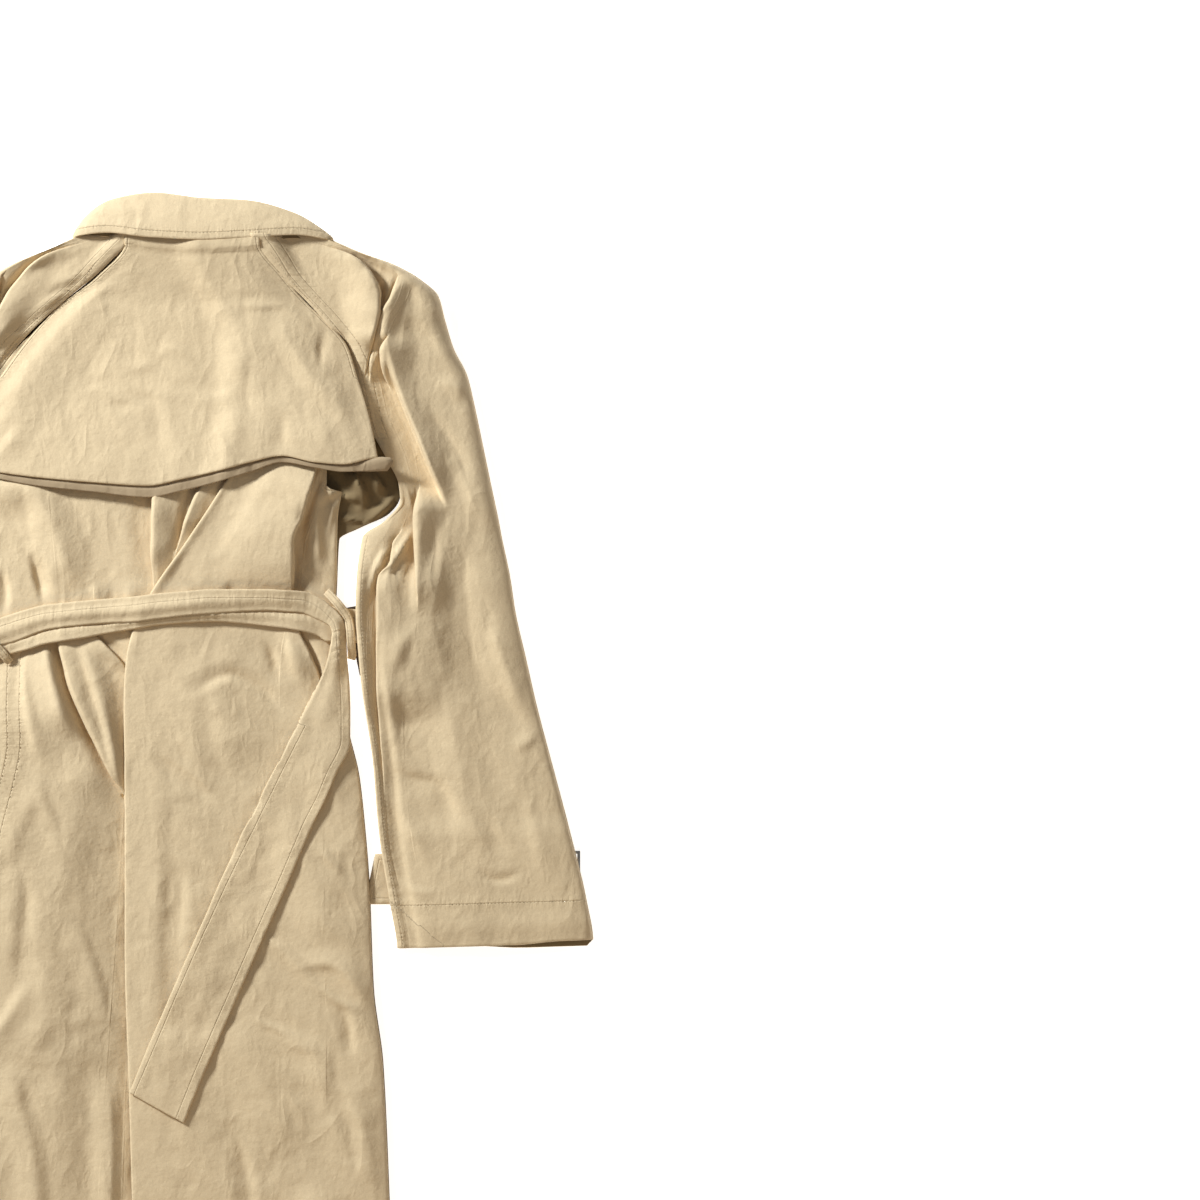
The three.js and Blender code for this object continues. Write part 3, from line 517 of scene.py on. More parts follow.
FRONT_INSIDE = creases("""
10 34 26 .4 | 176 322  198 316  224 312
7 12 4 .15 | 188 334  190 318  198 304  199 296  195 284
-5 4 9 .2 | 192 334  194 320  201 306  203 296  199 280
5 4 8 .15 | 174 299  186 297  197 294
-4 4 5 .2 | 172 294  184 291  196 288
5 4 6 .15 | 172 280  184 277  200 275
7 8 6 .2 | 208 322  214 308  222 302
-6 7 7 .2 | 212 326  218 314  226 306
6 7 5 .2 | 230 308  222 292  208 280  196 272
""")


# Pleats, where the cloth doubles back under itself. Each column is one pleat's x at a height y; PLEATS then says,
# for each stretch in which it is folded, the side of its upper layer, the heights it runs between, how far the
# upper layer stands up and how wide that is, how far the cloth goes back under it, and the dip and its width
# beside it.

LEFT_PLEAT_LINES = table("""
y wedge fold strip narrow
540 -60 -20 10 40
330 -100 -50 2 52
312 -100 -50 1 47
300 -100 -50 0.8 41
280 -98 -50 0.5 33
258 -96 -52 0.3 25
245 -95 -54 0 20
209 -93 -58 -1 15
168 -91 -58 -3 12
162 -90 -53 -4 11
150 -86.5 -41 -5 10
135 -82 -28 -8 8
124 -79 -24 -8 8
86 -63 -22 -8 7
62 -52 -20 -8 6
37 -41 -19 -8 6
12 -29 -17 -8 6
-40 -32 -20 -10 5
-585 -60 -34 -16 8
""")
LEFT_PLEATS = table("""
line side high low rise width under dip beside
0 1 176 0 8 26 8 10 18
1 -1 174 128 6 30 7 5 20
2 1 330 196 5.5 44 10 5 30
3 1 330 236 4 30 8 5 12
""")
LEFT_COLUMNS = (50, 14, 18, 10, 7)

RIGHT_PLEAT_LINES = table("""
y panel tuck
540 82 88
440 150 160
360 157 162
345 155 159.5
326 152.5 158
300 145 155
283 140 152
254 130 142
211 130 138
189 129 137
176 125 135
150 120 145
123 118 156
100 118 158
0 118 160
-585 120 165
""")
RIGHT_PLEATS = table("""
line side high low rise width under dip beside
0 -1 344 176 6 80 8 5 18
1 -1 186 108 6 26 7 5 16
""")
RIGHT_COLUMNS = (44, 7, 19)

SLEEVE_PLEAT_LINES = table("""
y head valley seam ridge
541 128 136 142 148
521 185 192 198 206
504 204 232 238 246
485 212 227 233 241
472 212 219.5 226 233
463 210.5 216 221 227
450 207 211.5 216 222
436 203 207.5 212 218
416 200 204.5 212 219
402 198 203 215 223
376 205 208 221 233
349 215 219 233 244
333 224 228 239 248
309 235 238 244 251
295 236 239 243.5 251
276 222 226 238 250
263 206 216 232 250
253 210 218 227 250
236 208 214 226 250
223 206.5 209.8 214 250
207 205 208.6 213 250
181 203 207 213 249
150 202 206 212 246
124 202.5 206.5 212 240
85 204.5 209 214 236
30 211 213.5 217 238
-24 216 218.5 221 244
-131 235 238 242 262
""")
SLEEVE_PLEATS = table("""
line side high low rise width under dip beside
0 -1 530 394 6 42 8 6 14
1 1 508 388 5 18 5 4 8
2 1 270 -14 4 30 4 2.5 12
3 1 452 182 6 34 6 9 50
""")
SLEEVE_COLUMNS = (16, 7, 7, 9, 50)


# Arithmetic


def mix(a, b, share):
    return a + (b - a) * share


def smooth(share):
    t = np.clip(share, 0, 1)
    return t * t * (3 - 2 * t)


def curve(rows, key, column):
    """A column of a table as a smooth function of another column that never overshoots a row."""
    order = np.argsort(rows[key], kind="stable")
    at, value = rows[key][order], rows[column][order]
    step = np.diff(value) / np.diff(at)
    before, after = step[:-1], step[1:]
    slope = np.zeros(len(at))
    same = before * after > 0
    slope[1:-1][same] = 2 * before[same] * after[same] / (before[same] + after[same])

    def read(place):
        place = np.clip(np.asarray(place, float), at[0], at[-1])
        i = np.clip(np.searchsorted(at, place, side="right") - 1, 0, len(at) - 2)
        span = at[i + 1] - at[i]
        t = (place - at[i]) / span
        early = (1 + 2 * t) * (1 - t) ** 2 * value[i] + t * (1 - t) ** 2 * span * slope[i]
        late = t * t * (3 - 2 * t) * value[i + 1] + t * t * (t - 1) * span * slope[i + 1]
        return early + late

    return read


def beside(path, x, y):
    """Signed distance of points from a path, how far along it they are, and its length."""
    steps = np.diff(path, axis=0)
    runs = np.hypot(steps[:, 0], steps[:, 1])
    starts = np.concatenate([[0], np.cumsum(runs)])
    dx, dy = path[-1] - path[0]
    turn = 1 if (dy > 0 if abs(dy) >= abs(dx) else dx < 0) else -1
    best = np.full(x.shape, 1e9)
    away = np.zeros(x.shape)
    along = np.zeros(x.shape)
    for (ax, ay), (sx, sy), run, start in zip(path[:-1], steps, runs, starts):
        px, py = x - ax, y - ay
        t = np.clip((px * sx + py * sy) / run**2, 0, 1)
        gap = np.hypot(px - t * sx, py - t * sy)
        closer = gap < best
        away = np.where(closer, np.sign(px * sy - py * sx) * gap, away)
        along = np.where(closer, start + t * run, along)
        best = np.where(closer, gap, best)
    return turn * away, along, starts[-1]


def relief(rows, x, y):
    """What creases add to the height at points."""
    x, y = np.broadcast_arrays(np.asarray(x, float), np.asarray(y, float))
    total = np.zeros(x.shape)
    for rise, minus, plus, crest, path in rows:
        reach = max(minus, plus)
        near = (x > path[:, 0].min() - reach) & (x < path[:, 0].max() + reach)
        near &= (y > path[:, 1].min() - reach) & (y < path[:, 1].max() + reach)
        if not near.any():
            continue
        away, along, length = beside(path, x[near], y[near])
        share = np.abs(away) / np.where(away < 0, minus, plus)
        sharp = 0.35 * crest
        flank = 1 - (np.sqrt(share**2 + sharp**2) - sharp) / (math.sqrt(1 + sharp**2) - sharp)
        fade = min(0.45 * length, 40)
        ends = smooth(along / fade) * smooth((length - along) / fade)
        total[near] += rise * np.clip(flank, 0, 1) ** 1.25 * ends
    return total


def swell(x, y, size, seed):
    """A slow random rise and fall from -1 to 1, about size across."""
    lattice = np.random.default_rng(seed).uniform(-1, 1, (61, 61))
    u, v = x / size + 17.3, y / size + 23.7
    i, j = np.floor(u).astype(int), np.floor(v).astype(int)
    a, b = smooth(u - i), smooth(v - j)
    low = mix(lattice[i % 61, j % 61], lattice[(i + 1) % 61, j % 61], a)
    high = mix(lattice[i % 61, (j + 1) % 61], lattice[(i + 1) % 61, (j + 1) % 61], a)
    return mix(low, high, b)


def facets(x, y, size, stretch, lean, seed):
    """Flat facets with crisp ridges between them, from -1 to 1, about size across and longer along lean."""
    rng = np.random.default_rng(seed)
    lattice = rng.uniform(-1, 1, (61, 61))
    slant = rng.random((61, 61)) < 0.5
    u = (math.cos(lean) * x + math.sin(lean) * y) / (size * stretch) + 0.4 * swell(x, y, 1.6 * size, seed + 1) + 20.3
    v = (math.cos(lean) * y - math.sin(lean) * x) / size + 0.4 * swell(x, y, 1.6 * size, seed + 2) + 30.7
    i, j = np.floor(u).astype(int), np.floor(v).astype(int)
    a, b = u - i, v - j
    i, j = i % 60, j % 60
    h00, h10, h01, h11 = lattice[i, j], lattice[i + 1, j], lattice[i, j + 1], lattice[i + 1, j + 1]
    one = np.where(
        a + b < 1, h00 + a * (h10 - h00) + b * (h01 - h00), h11 + (1 - a) * (h01 - h11) + (1 - b) * (h10 - h11)
    )
    two = np.where(a > b, h00 + a * (h10 - h00) + b * (h11 - h10), h00 + b * (h01 - h00) + a * (h11 - h01))
    return np.where(slant[i, j], one, two)


def crumpled(x, y, lean, seed):
    """The slight unevenness of crisp cloth: flat facets of two sizes, stronger in some places than in others."""
    where = 0.65 + 0.35 * swell(x, y, 70, seed)
    coarse = facets(x, y, 25, 2.1, lean, seed + 3)
    fine = facets(x, y, 11, 1.7, lean + 0.5, seed + 7)
    return where * (1.6 * coarse + 0.8 * fine)


def stood_up(lines, pleats, x, y):
    """What pleats add to the height: their upper layers stand up, and the cloth beside them dips."""
    total = np.zeros(np.broadcast(x, y).shape)
    names = [name for name in lines if name != "y"]
    for k in range(len(pleats["line"])):
        row = {key: values[k] for key, values in pleats.items()}
        edge = curve(lines, "y", names[int(row["line"])])(y)
        away = (x - edge) * row["side"]
        ends = smooth((row["high"] - y) / 16) * smooth((y - row["low"]) / (16 + 0.3 * (row["high"] - row["low"])))
        up = row["rise"] * smooth(1 - away / row["width"])
        down = -row["dip"] * smooth(1 + away / row["beside"]) ** 1.3
        total += np.where(away > 0, up, down) * ends
    return total


def pleated_columns(lines, pleats, counts, left, right, y, height):
    """A panel's rows of points from its left to its right edge, each with its cloth doubled back at the pleats."""
    names = [name for name in lines if name != "y"]
    edges = [curve(lines, "y", name)(y) for name in names]
    starts = [left] + [edge + 0.8 for edge in edges]
    ends = [edge - 0.8 for edge in edges] + [right]
    plain = [mix(a, b, t) for a, b, n in zip(starts, ends, counts) for t in np.linspace(0, 1, n)]
    plain = np.stack(plain, axis=1)
    heights = height(plain, y[:, None])
    parts = np.cumsum(counts)[:-1]
    parts_x, parts_z = np.split(plain, parts, axis=1), np.split(heights, parts, axis=1)
    across, up = [parts_x[0]], [parts_z[0]]
    for k, edge in enumerate(edges):
        side = pleats["side"][pleats["line"] == k][0]
        depth = pleats["under"][pleats["line"] == k].max()
        before, after = parts_z[k][:, -1], parts_z[k + 1][:, 0]
        top, low = (after, before) if side > 0 else (before, after)
        r = np.maximum(top - low, 0.02) / 4
        folded = smooth((4 * r - 1.2) / 1.4)
        under = depth * folded
        out = np.stack([under, under + r, under, 0 * r, -0.7 * r, -r, -0.7 * r, 0 * r], axis=1)
        fall = np.stack([-4 * r, -3 * r, -2 * r, -2 * r, -1.7 * r, -r, -0.3 * r, 0 * r], axis=1)
        beyond = height(edge[:, None] + side * under[:, None], y[:, None])[:, 0]
        fall[:, :3] -= np.maximum(0, top - beyond)[:, None]
        if side < 0:
            out, fall = -out[:, ::-1], fall[:, ::-1]
        share = np.linspace(0, 1, 8)[None, :]
        flat_x = mix(-0.6, 0.6, share) + 0 * out
        flat_z = mix(before[:, None], after[:, None], share)
        across += [edge[:, None] + mix(flat_x, out, folded[:, None]), parts_x[k + 1]]
        up += [mix(flat_z, top[:, None] + fall, folded[:, None]), parts_z[k + 1]]
    return np.concatenate(across, axis=1), np.concatenate(up, axis=1)


def small_creases(seed, count, left, right, bottom, top, lean, spread=0.5):
    """Short slight creases scattered over an area, most of them along lean, an angle from +X."""
    rng = np.random.default_rng(seed)
    rows = []
    for _ in range(count):
        middle = np.array([rng.uniform(left, right), rng.uniform(bottom, top)])
        angle = rng.normal(lean, spread)
        reach = rng.uniform(9, 30)
        along = np.array([math.cos(angle), math.sin(angle)]) * reach
        bow = np.array([-along[1], along[0]]) * rng.uniform(-0.25, 0.25)
        rise = rng.uniform(0.15, 0.55) * (1 if rng.random() < 0.6 else -1)
        width = rng.uniform(3, 7)
        points = np.array([middle - along, middle + bow, middle + along])
        rows.append((rise, width, width * rng.uniform(0.7, 1.6), 0.25, rounded_path(points)))
    return rows


LEFT_BACK += small_creases(3, 150, -225, 20, -585, 300, 1.9)
RIGHT_BACK += small_creases(4, 150, -20, 225, -585, 300, -1.2)
SHIELD += small_creases(5, 70, -180, 200, 330, 520, 2.2, 0.9)
SLEEVE_RIGHT += small_creases(6, 90, 200, 405, -120, 530, -1.2)
SLEEVE_LEFT += small_creases(7, 60, -405, -100, -120, 530, -1.9)


# Layers, from the surface up


body_right = curve(BODY_SIDE, "y", "x")
seam_middle = curve(MIDDLE, "y", "seam")
outer_middle = curve(MIDDLE, "y", "outer")
vent_edge = curve(VENT_EDGE, "y", "x")
neck_seam = curve(NECK, "x", "y")
shield_hem = curve(SHIELD_HEM, "x", "shield")
facing_hem = curve(SHIELD_HEM, "x", "facing")
hem_stand = curve(SHIELD_HEM, "x", "stand")
shield_left = curve(SHIELD_EDGES, "y", "left")
shield_right = curve(SHIELD_EDGES, "y", "right")
armhole = curve(FRONT_ARMHOLE, "y", "x")


def body_left(y):
    return 2 * mix(BODY_AXIS, seam_middle(y), smooth((y - 300) / 60)) - body_right(y)


def neck_rise(y):
    return 12 * smooth((y - 478) / 62)


def crown(x, y):
    inset = np.minimum(body_right(y) - x, x - body_left(y))
    side = np.sqrt(1 - (1 - np.clip(inset, 0, 34) / 34) ** 2)
    return mix(side, 1, smooth((y - 350) / 80))


def below_shield(y):
    return smooth((352 - y) / 50)


def pressed(y):
    return 1 - 0.4 * smooth((34 - np.abs(y - 182)) / 18)


def back_base(x, y):
    return 3.2 + 6 * crown(x, y) + 0.75 * neck_rise(y)


def lowest(x, y):
    """How far a fold may sink: less over the fronts' overlap."""
    from_middle = np.abs(x - seam_middle(y) - 16)
    return mix(-5, -1.9, smooth((72 - from_middle) / 14))


def left_folds(x, y):
    folds = relief(LEFT_BACK, x, y) * mix(1, 0.55, smooth((100 - y) / 100))
    folds += stood_up(LEFT_PLEAT_LINES, LEFT_PLEATS, x, y) + crumpled(x, y, 1.8, 11)
    fallen = np.clip((x + 165) / (vent_edge(y) + 167), 0, 1) ** 2.3
    hip = (1 - fallen) * smooth((x - body_left(y)) / 46) * mix(1, 0.5, smooth((-380 - y) / 150))
    folds += (17 * hip - 1.9) * smooth((158 - y) / 80)
    under_right = smooth((vent_edge(y) + 14 - x) / 14)
    return np.maximum(folds * below_shield(y) * pressed(y) * crown(x, y), lowest(x, y)) * under_right


def left_back_height(x, y):
    return back_base(x, y) + left_folds(x, y)


def right_back_height(x, y):
    lap = smooth((vent_edge(y) + 150 - x) / 130)
    folds = 0.8 * relief(RIGHT_BACK, x, y) + stood_up(RIGHT_PLEAT_LINES, RIGHT_PLEATS, x, y)
    folds += crumpled(x, y, -1.0, 12)
    folds = np.maximum(folds * below_shield(y) * pressed(y) * crown(x, y), lowest(x, y))
    over_fold = smooth((x - vent_edge(y) - TURN_DEPTH) / 24)
    raised = lap * (LAP + np.maximum(0, left_folds(x, y)))
    return back_base(x, y) + raised + mix(np.maximum(0, 0.3 * folds), folds, over_fold)


def shield_height(x, y):
    lapped = smooth((x - vent_edge(y) + 36) / 30) * smooth((vent_edge(y) + 170 - x) / 130)
    rest = 10.4 + CLEAR + STRAP / 2 + LAP * lapped + neck_rise(y) + 2.4 * smooth((y - neck_seam(x) + 4) / 3)
    toward_hem = smooth((shield_hem(x) + 130 - y) / 130)
    inset = np.minimum(shield_right(y) - x, x - shield_left(y))
    loose = smooth(inset / 26) * smooth((530 - y) / 40)
    folds = 0.7 * relief(SHIELD, x, y) + 0.75 * crumpled(x, y, 2.2, 13)
    return rest + (2.4 + np.maximum(-2.4, folds)) * loose + hem_stand(x) * toward_hem**2


def strap_lift(y):
    return 2.8 * smooth((64 - np.abs(y - CUFF_STRAP_Y)) / 24)


def buckle_lift(x, y):
    return 8.4 * smooth((286 - x) / 42) * smooth((84 - np.abs(y - 164)) / 38)


def neck_lift(y):
    return NECK_LIFT * smooth((y - 455) / 22)


class Ground:
    """Heights of what lies under the belt, the loops and the shield, on an even raster."""

    STEP = 2.0

    def __init__(self):
        self.x = np.arange(-240, 241, self.STEP)
        self.y = np.arange(-592, 560, self.STEP)
        x, y = np.meshgrid(self.x, self.y)
        left = left_back_height(x, y) + CLOTH / 2
        right = right_back_height(x, y) + CLOTH / 2
        top = np.where(x > vent_edge(y) - 2, right, left)
        inside = (x < body_right(y) + 0.5) & (x > body_left(y) - 0.5)
        self.top = np.where(inside, top, 0)

    def spread(self, reach):
        """The raster with each place as high as the highest one within reach."""
        n = max(1, round(reach / self.STEP))
        wide = self.top
        for axis in (0, 1):
            wide = np.maximum.reduce([np.roll(wide, k, axis) for k in range(-n, n + 1)])
        return wide

    def read(self, raster, x, y):
        u = np.clip((np.asarray(x, float) - self.x[0]) / self.STEP, 0, len(self.x) - 1.001)
        v = np.clip((np.asarray(y, float) - self.y[0]) / self.STEP, 0, len(self.y) - 1.001)
        i, j = u.astype(int), v.astype(int)
        low = mix(raster[j, i], raster[j, i + 1], u - i)
        high = mix(raster[j + 1, i], raster[j + 1, i + 1], u - i)
        return mix(low, high, v - j)


ground = Ground()


# Meshes


def stack(x, y, z):
    return np.stack(np.broadcast_arrays(x, y, z), axis=-1)


def unit(vectors):
    return vectors / np.maximum(np.linalg.norm(vectors, axis=-1, keepdims=True), 1e-9)


def facing_of(grid):
    """Outward normals of a grid whose rows run down and whose columns run over."""
    return unit(np.cross(np.gradient(grid, axis=0), np.gradient(grid, axis=1)))


def border(rows, columns):
    """Indexes of the grid's outermost points in order, anticlockwise as seen along the normals."""
    index = np.arange(rows * columns).reshape(rows, columns)
    return np.concatenate([index[:-1, 0], index[-1, :-1], index[:0:-1, -1], index[0, :0:-1]])


def shell(name, grid, thickness, finish, inner_finish=None, marks=None, pleated=False):
    """A closed wall with a rounded rim round a grid of middle points."""
    rows, columns = grid.shape[:2]
    normal = facing_of(grid)
    outward = np.zeros_like(grid)
    outward[0] += unit(grid[0] - grid[1])
    outward[-1] += unit(grid[-1] - grid[-2])
    outward[:, 0] += unit(grid[:, 0] - grid[:, 1])
    outward[:, -1] += unit(grid[:, -1] - grid[:, -2])
    flat = grid.reshape(-1, 3)
    normal = normal.reshape(-1, 3)
    edge = border(rows, columns)
    rim = flat[edge] + unit(outward.reshape(-1, 3)[edge]) * thickness / 2
    points = np.concatenate([flat + normal * thickness / 2, flat - normal * thickness / 2, rim])
    index = np.arange(rows * columns).reshape(rows, columns)
    a, b, c, d = index[:-1, :-1], index[1:, :-1], index[1:, 1:], index[:-1, 1:]
    upper = np.stack([a, b, c, d], axis=-1).reshape(-1, 4)
    count = rows * columns
    lower = np.stack([a, d, c, b], axis=-1).reshape(-1, 4) + count
    following = np.roll(edge, -1)
    ring = 2 * count + np.arange(len(edge))
    ring_next = np.roll(ring, -1)
    upper_rim = np.stack([following, edge, ring, ring_next], axis=-1)
    lower_rim = np.stack([ring_next, ring, edge + count, following + count], axis=-1)
    faces = np.concatenate([upper, upper_rim, lower_rim, lower])
    mesh = bpy.data.meshes.new(name)
    mesh.from_pydata((points * MM).tolist(), [], faces.tolist())
    if pleated:
        lay = flat[:, :2] * MM
    else:
        over = np.cumsum(np.linalg.norm(np.diff(grid, axis=1, prepend=grid[:, :1]), axis=-1).mean(axis=0))
        down = np.cumsum(np.linalg.norm(np.diff(grid, axis=0, prepend=grid[:1]), axis=-1).mean(axis=1))
        lay = np.stack(np.meshgrid(over * MM, -down * MM), axis=-1).reshape(-1, 2)
    lay = np.concatenate([lay, lay, lay[edge]])
    corners = np.empty(len(mesh.loops), dtype=np.int32)
    mesh.loops.foreach_get("vertex_index", corners)
    mesh.uv_layers.new(name="cloth").data.foreach_set("uv", lay[corners].ravel())
    for key, values in (marks or {}).items():
        values = np.broadcast_to(values, (rows, columns)).ravel()
        attribute = mesh.attributes.new(key, "FLOAT", "POINT")
        attribute.data.foreach_set("value", np.concatenate([values, values, values[edge]]))
    mesh.materials.append(finish)
    if inner_finish:
        mesh.materials.append(inner_finish)
        inside = np.zeros(len(faces), dtype=np.int32)
        inside[-len(lower) :] = 1
        mesh.polygons.foreach_set("material_index", inside)
    mesh.shade_smooth()
    piece = bpy.data.objects.new(name, mesh)
    bpy.context.collection.objects.link(piece)
    return piece


def panel(across, levels, left, right, top, bottom, height):
    """Middle points of a panel between its side edges, given by y, and its ends, given by the share across."""
    levels = np.asarray(levels, float)
    t = ((levels[0] - levels) / (levels[0] - levels[-1]))[:, None]
    s = np.asarray(across, float)[None, :]
    y = mix(top(s), bottom(s), t)
    x = mix(left(y), right(y), s)
    return stack(x, y, height(x, y))


def levels(*stops):
    """Heights from the first stop down to the last: pairs of a stop and the step that leads to the next."""
    rows = []
    for (start, step), (end, _) in zip(stops[:-1], stops[1:]):
        count = max(1, round((start - end) / step))
        rows += list(np.linspace(start, end, count + 1)[:-1])
    return rows + [stops[-1][0]]


def pucker(away, along, height, width, seed, pitch=8):
    """Small ripples that sewing draws up across a seam."""
    pitch = pitch * (1 + 0.3 * swell(along, away * 0, 60, seed))
    wave = np.sin(2 * math.pi * along / pitch + 0.09 * np.abs(away))
    wave = wave * (0.6 + 0.4 * swell(along, away * 0, 23, seed + 1))
    return height * wave * smooth(1 - np.abs(away) / width)


# Node helpers and finishes


def add_node(tree, kind, settings=None, **inputs):
    """A shader node with its settings and with values or other nodes' outputs in its inputs."""
    made = tree.nodes.new(kind)
    for key, value in (settings or {}).items():
        setattr(made, key, value)
    for key, value in inputs.items():
        key = key.replace("_", " ")
        socket = made.inputs[int(key) if key.isdigit() else key]
        if isinstance(value, bpy.types.NodeSocket):
            tree.links.new(value, socket)
        else:
            socket.default_value = value
    return made


def maths(tree, operation, first, second=0.0, clamp=False):
    made = tree.nodes.new("ShaderNodeMath")
    made.operation = operation
    made.use_clamp = clamp
    for socket, value in zip(made.inputs, (first, second)):
        if isinstance(value, bpy.types.NodeSocket):
            tree.links.new(value, socket)
        else:
            socket.default_value = value
    return made.outputs[0]


def group(name, inputs, outputs):
    tree = bpy.data.node_groups.new(name, "ShaderNodeTree")
    for label, kind, value in inputs:
        socket = tree.interface.new_socket(name=label, in_out="INPUT", socket_type=kind)
        socket.default_value = value
    for label, kind in outputs:
        tree.interface.new_socket(name=label, in_out="OUTPUT", socket_type=kind)
    return tree, tree.nodes.new("NodeGroupInput"), tree.nodes.new("NodeGroupOutput")


def tone_group():
    """Cloth colour with slow patches, slubs and fine yarn specks."""
    tree, given, result = group(
        "cloth tone",
        [("Colour", "NodeSocketColor", (0.6, 0.5, 0.3, 1)), ("Patches", "NodeSocketFloat", 0.06),
         ("Specks", "NodeSocketFloat", 0.05)],
        [("Colour", "NodeSocketColor")],
    )
    place = tree.nodes.new("ShaderNodeTexCoord").outputs["Object"]
    slow = add_node(tree, "ShaderNodeTexNoise", Vector=place, Scale=11.0, Detail=3.0, Roughness=0.55)
    middle = add_node(tree, "ShaderNodeTexNoise", Vector=place, Scale=90.0, Detail=3.0, Roughness=0.6)
    fine = add_node(tree, "ShaderNodeTexNoise", Vector=place, Scale=900.0, Detail=1.0, Roughness=0.5)
    patches = maths(tree, "MULTIPLY", maths(tree, "SUBTRACT", slow.outputs[0], 0.5), given.outputs["Patches"])
    half = maths(tree, "MULTIPLY", maths(tree, "SUBTRACT", middle.outputs[0], 0.5), given.outputs["Patches"])
    specks = maths(tree, "MULTIPLY", maths(tree, "SUBTRACT", fine.outputs[0], 0.5), given.outputs["Specks"])
    total = maths(tree, "ADD", maths(tree, "ADD", patches, half), specks)
    value = maths(tree, "ADD", maths(tree, "MULTIPLY", total, 2.0), 1.0)
    shaded = add_node(tree, "ShaderNodeHueSaturation", Color=given.outputs["Colour"], Value=value)
    tree.links.new(shaded.outputs[0], result.inputs["Colour"])
    return tree


def crease_lines(tree, place):
    """Fine sharp creases of two sizes, in patches."""
    total = None
    for turn, scale, sharpness, share in ((0.7, (30, 17, 12), 5.0, 1.5), (-0.9, (75, 40, 30), 4.0, 0.6)):
        lay = add_node(tree, "ShaderNodeMapping", Vector=place, Rotation=(0, 0, turn), Scale=scale)
        noise = add_node(tree, "ShaderNodeTexNoise", Vector=lay.outputs[0], Scale=1.0, Detail=1.5, Distortion=0.5)
        off = maths(tree, "ABSOLUTE", maths(tree, "SUBTRACT", noise.outputs[0], 0.5))
        line = maths(tree, "SUBTRACT", 1.0, maths(tree, "MULTIPLY", off, sharpness), clamp=True)
        where = add_node(tree, "ShaderNodeTexNoise", Vector=lay.outputs[0], Scale=0.45, Detail=1.0)
        patch = maths(tree, "MULTIPLY", maths(tree, "SUBTRACT", where.outputs[0], 0.36), 4.0, clamp=True)
        part = maths(tree, "MULTIPLY", maths(tree, "MULTIPLY", line, patch), share)
        total = part if total is None else maths(tree, "ADD", total, part)
    return total


def weave_group():
    """Height of a steep twill's ribs, following the cloth."""
    tree, given, result = group(
        "gabardine weave",
        [("Ribs", "NodeSocketFloat", 0.5), ("Crumple", "NodeSocketFloat", 0.5), ("Creases", "NodeSocketFloat", 1.0)],
        [("Height", "NodeSocketFloat")],
    )
    lay = add_node(tree, "ShaderNodeUVMap", {"uv_map": "cloth"}).outputs[0]
    turned = add_node(tree, "ShaderNodeMapping", Vector=lay, Rotation=(0, 0, math.radians(-63)))
    ribs = add_node(tree, "ShaderNodeTexWave", Vector=turned.outputs[0], Scale=430.0, Distortion=0.6, Detail=1.0)
    place = tree.nodes.new("ShaderNodeTexCoord").outputs["Object"]
    crumple = add_node(tree, "ShaderNodeTexNoise", Vector=place, Scale=170.0, Detail=4.0, Roughness=0.62)
    fine = maths(tree, "MULTIPLY", ribs.outputs[1], given.outputs["Ribs"])
    coarse = maths(tree, "MULTIPLY", crumple.outputs[0], given.outputs["Crumple"])
    creased = maths(tree, "MULTIPLY", crease_lines(tree, place), given.outputs["Creases"])
    total = maths(tree, "ADD", maths(tree, "ADD", fine, coarse), creased)
    tree.links.new(total, result.inputs["Height"])
    return tree


def seam_group():
    """Height of the groove that a row of stitches presses, with fine gathers across it, and the groove's share, which
    darkens the cloth's colour as painted shade.
    """
    tree, given, result = group(
        "stitched groove",
        [("Depth", "NodeSocketFloat", 0.5), ("Gathers", "NodeSocketFloat", 0.5)],
        [("Height", "NodeSocketFloat"), ("Shade", "NodeSocketFloat")],
    )
    away = add_node(tree, "ShaderNodeAttribute", {"attribute_name": "away"}).outputs["Fac"]
    run = add_node(tree, "ShaderNodeAttribute", {"attribute_name": "run"}).outputs["Fac"]
    gap = maths(tree, "ABSOLUTE", away)
    groove = maths(tree, "SUBTRACT", 1.0, maths(tree, "MULTIPLY", gap, 0.8), clamp=True)
    groove = maths(tree, "MULTIPLY", groove, groove)
    lay = add_node(tree, "ShaderNodeCombineXYZ", X=maths(tree, "MULTIPLY", run, 0.36),
                   Y=maths(tree, "MULTIPLY", gap, 0.13))
    ripple = add_node(tree, "ShaderNodeTexNoise", Vector=lay.outputs[0], Scale=1.0, Detail=2.0, Roughness=0.5)
    near = maths(tree, "SUBTRACT", 1.0, maths(tree, "MULTIPLY", gap, 0.11), clamp=True)
    gathers = maths(tree, "MULTIPLY", maths(tree, "MULTIPLY", ripple.outputs[0], near), given.outputs["Gathers"])
    pressed_in = maths(tree, "MULTIPLY", groove, given.outputs["Depth"])
    tree.links.new(maths(tree, "SUBTRACT", gathers, pressed_in), result.inputs["Height"])
    tree.links.new(groove, result.inputs["Shade"])
    return tree


def principled(name, **inputs):
    made = bpy.data.materials.new(name)
    made.use_nodes = True
    shader = made.node_tree.nodes["Principled BSDF"]
    for key, value in inputs.items():
        shader.inputs[key.replace("_", " ")].default_value = value
    return made, made.node_tree, shader


def place_group(tree, shared, **inputs):
    made = tree.nodes.new("ShaderNodeGroup")
    made.node_tree = shared
    for key, value in inputs.items():
        made.inputs[key].default_value = value
    return made


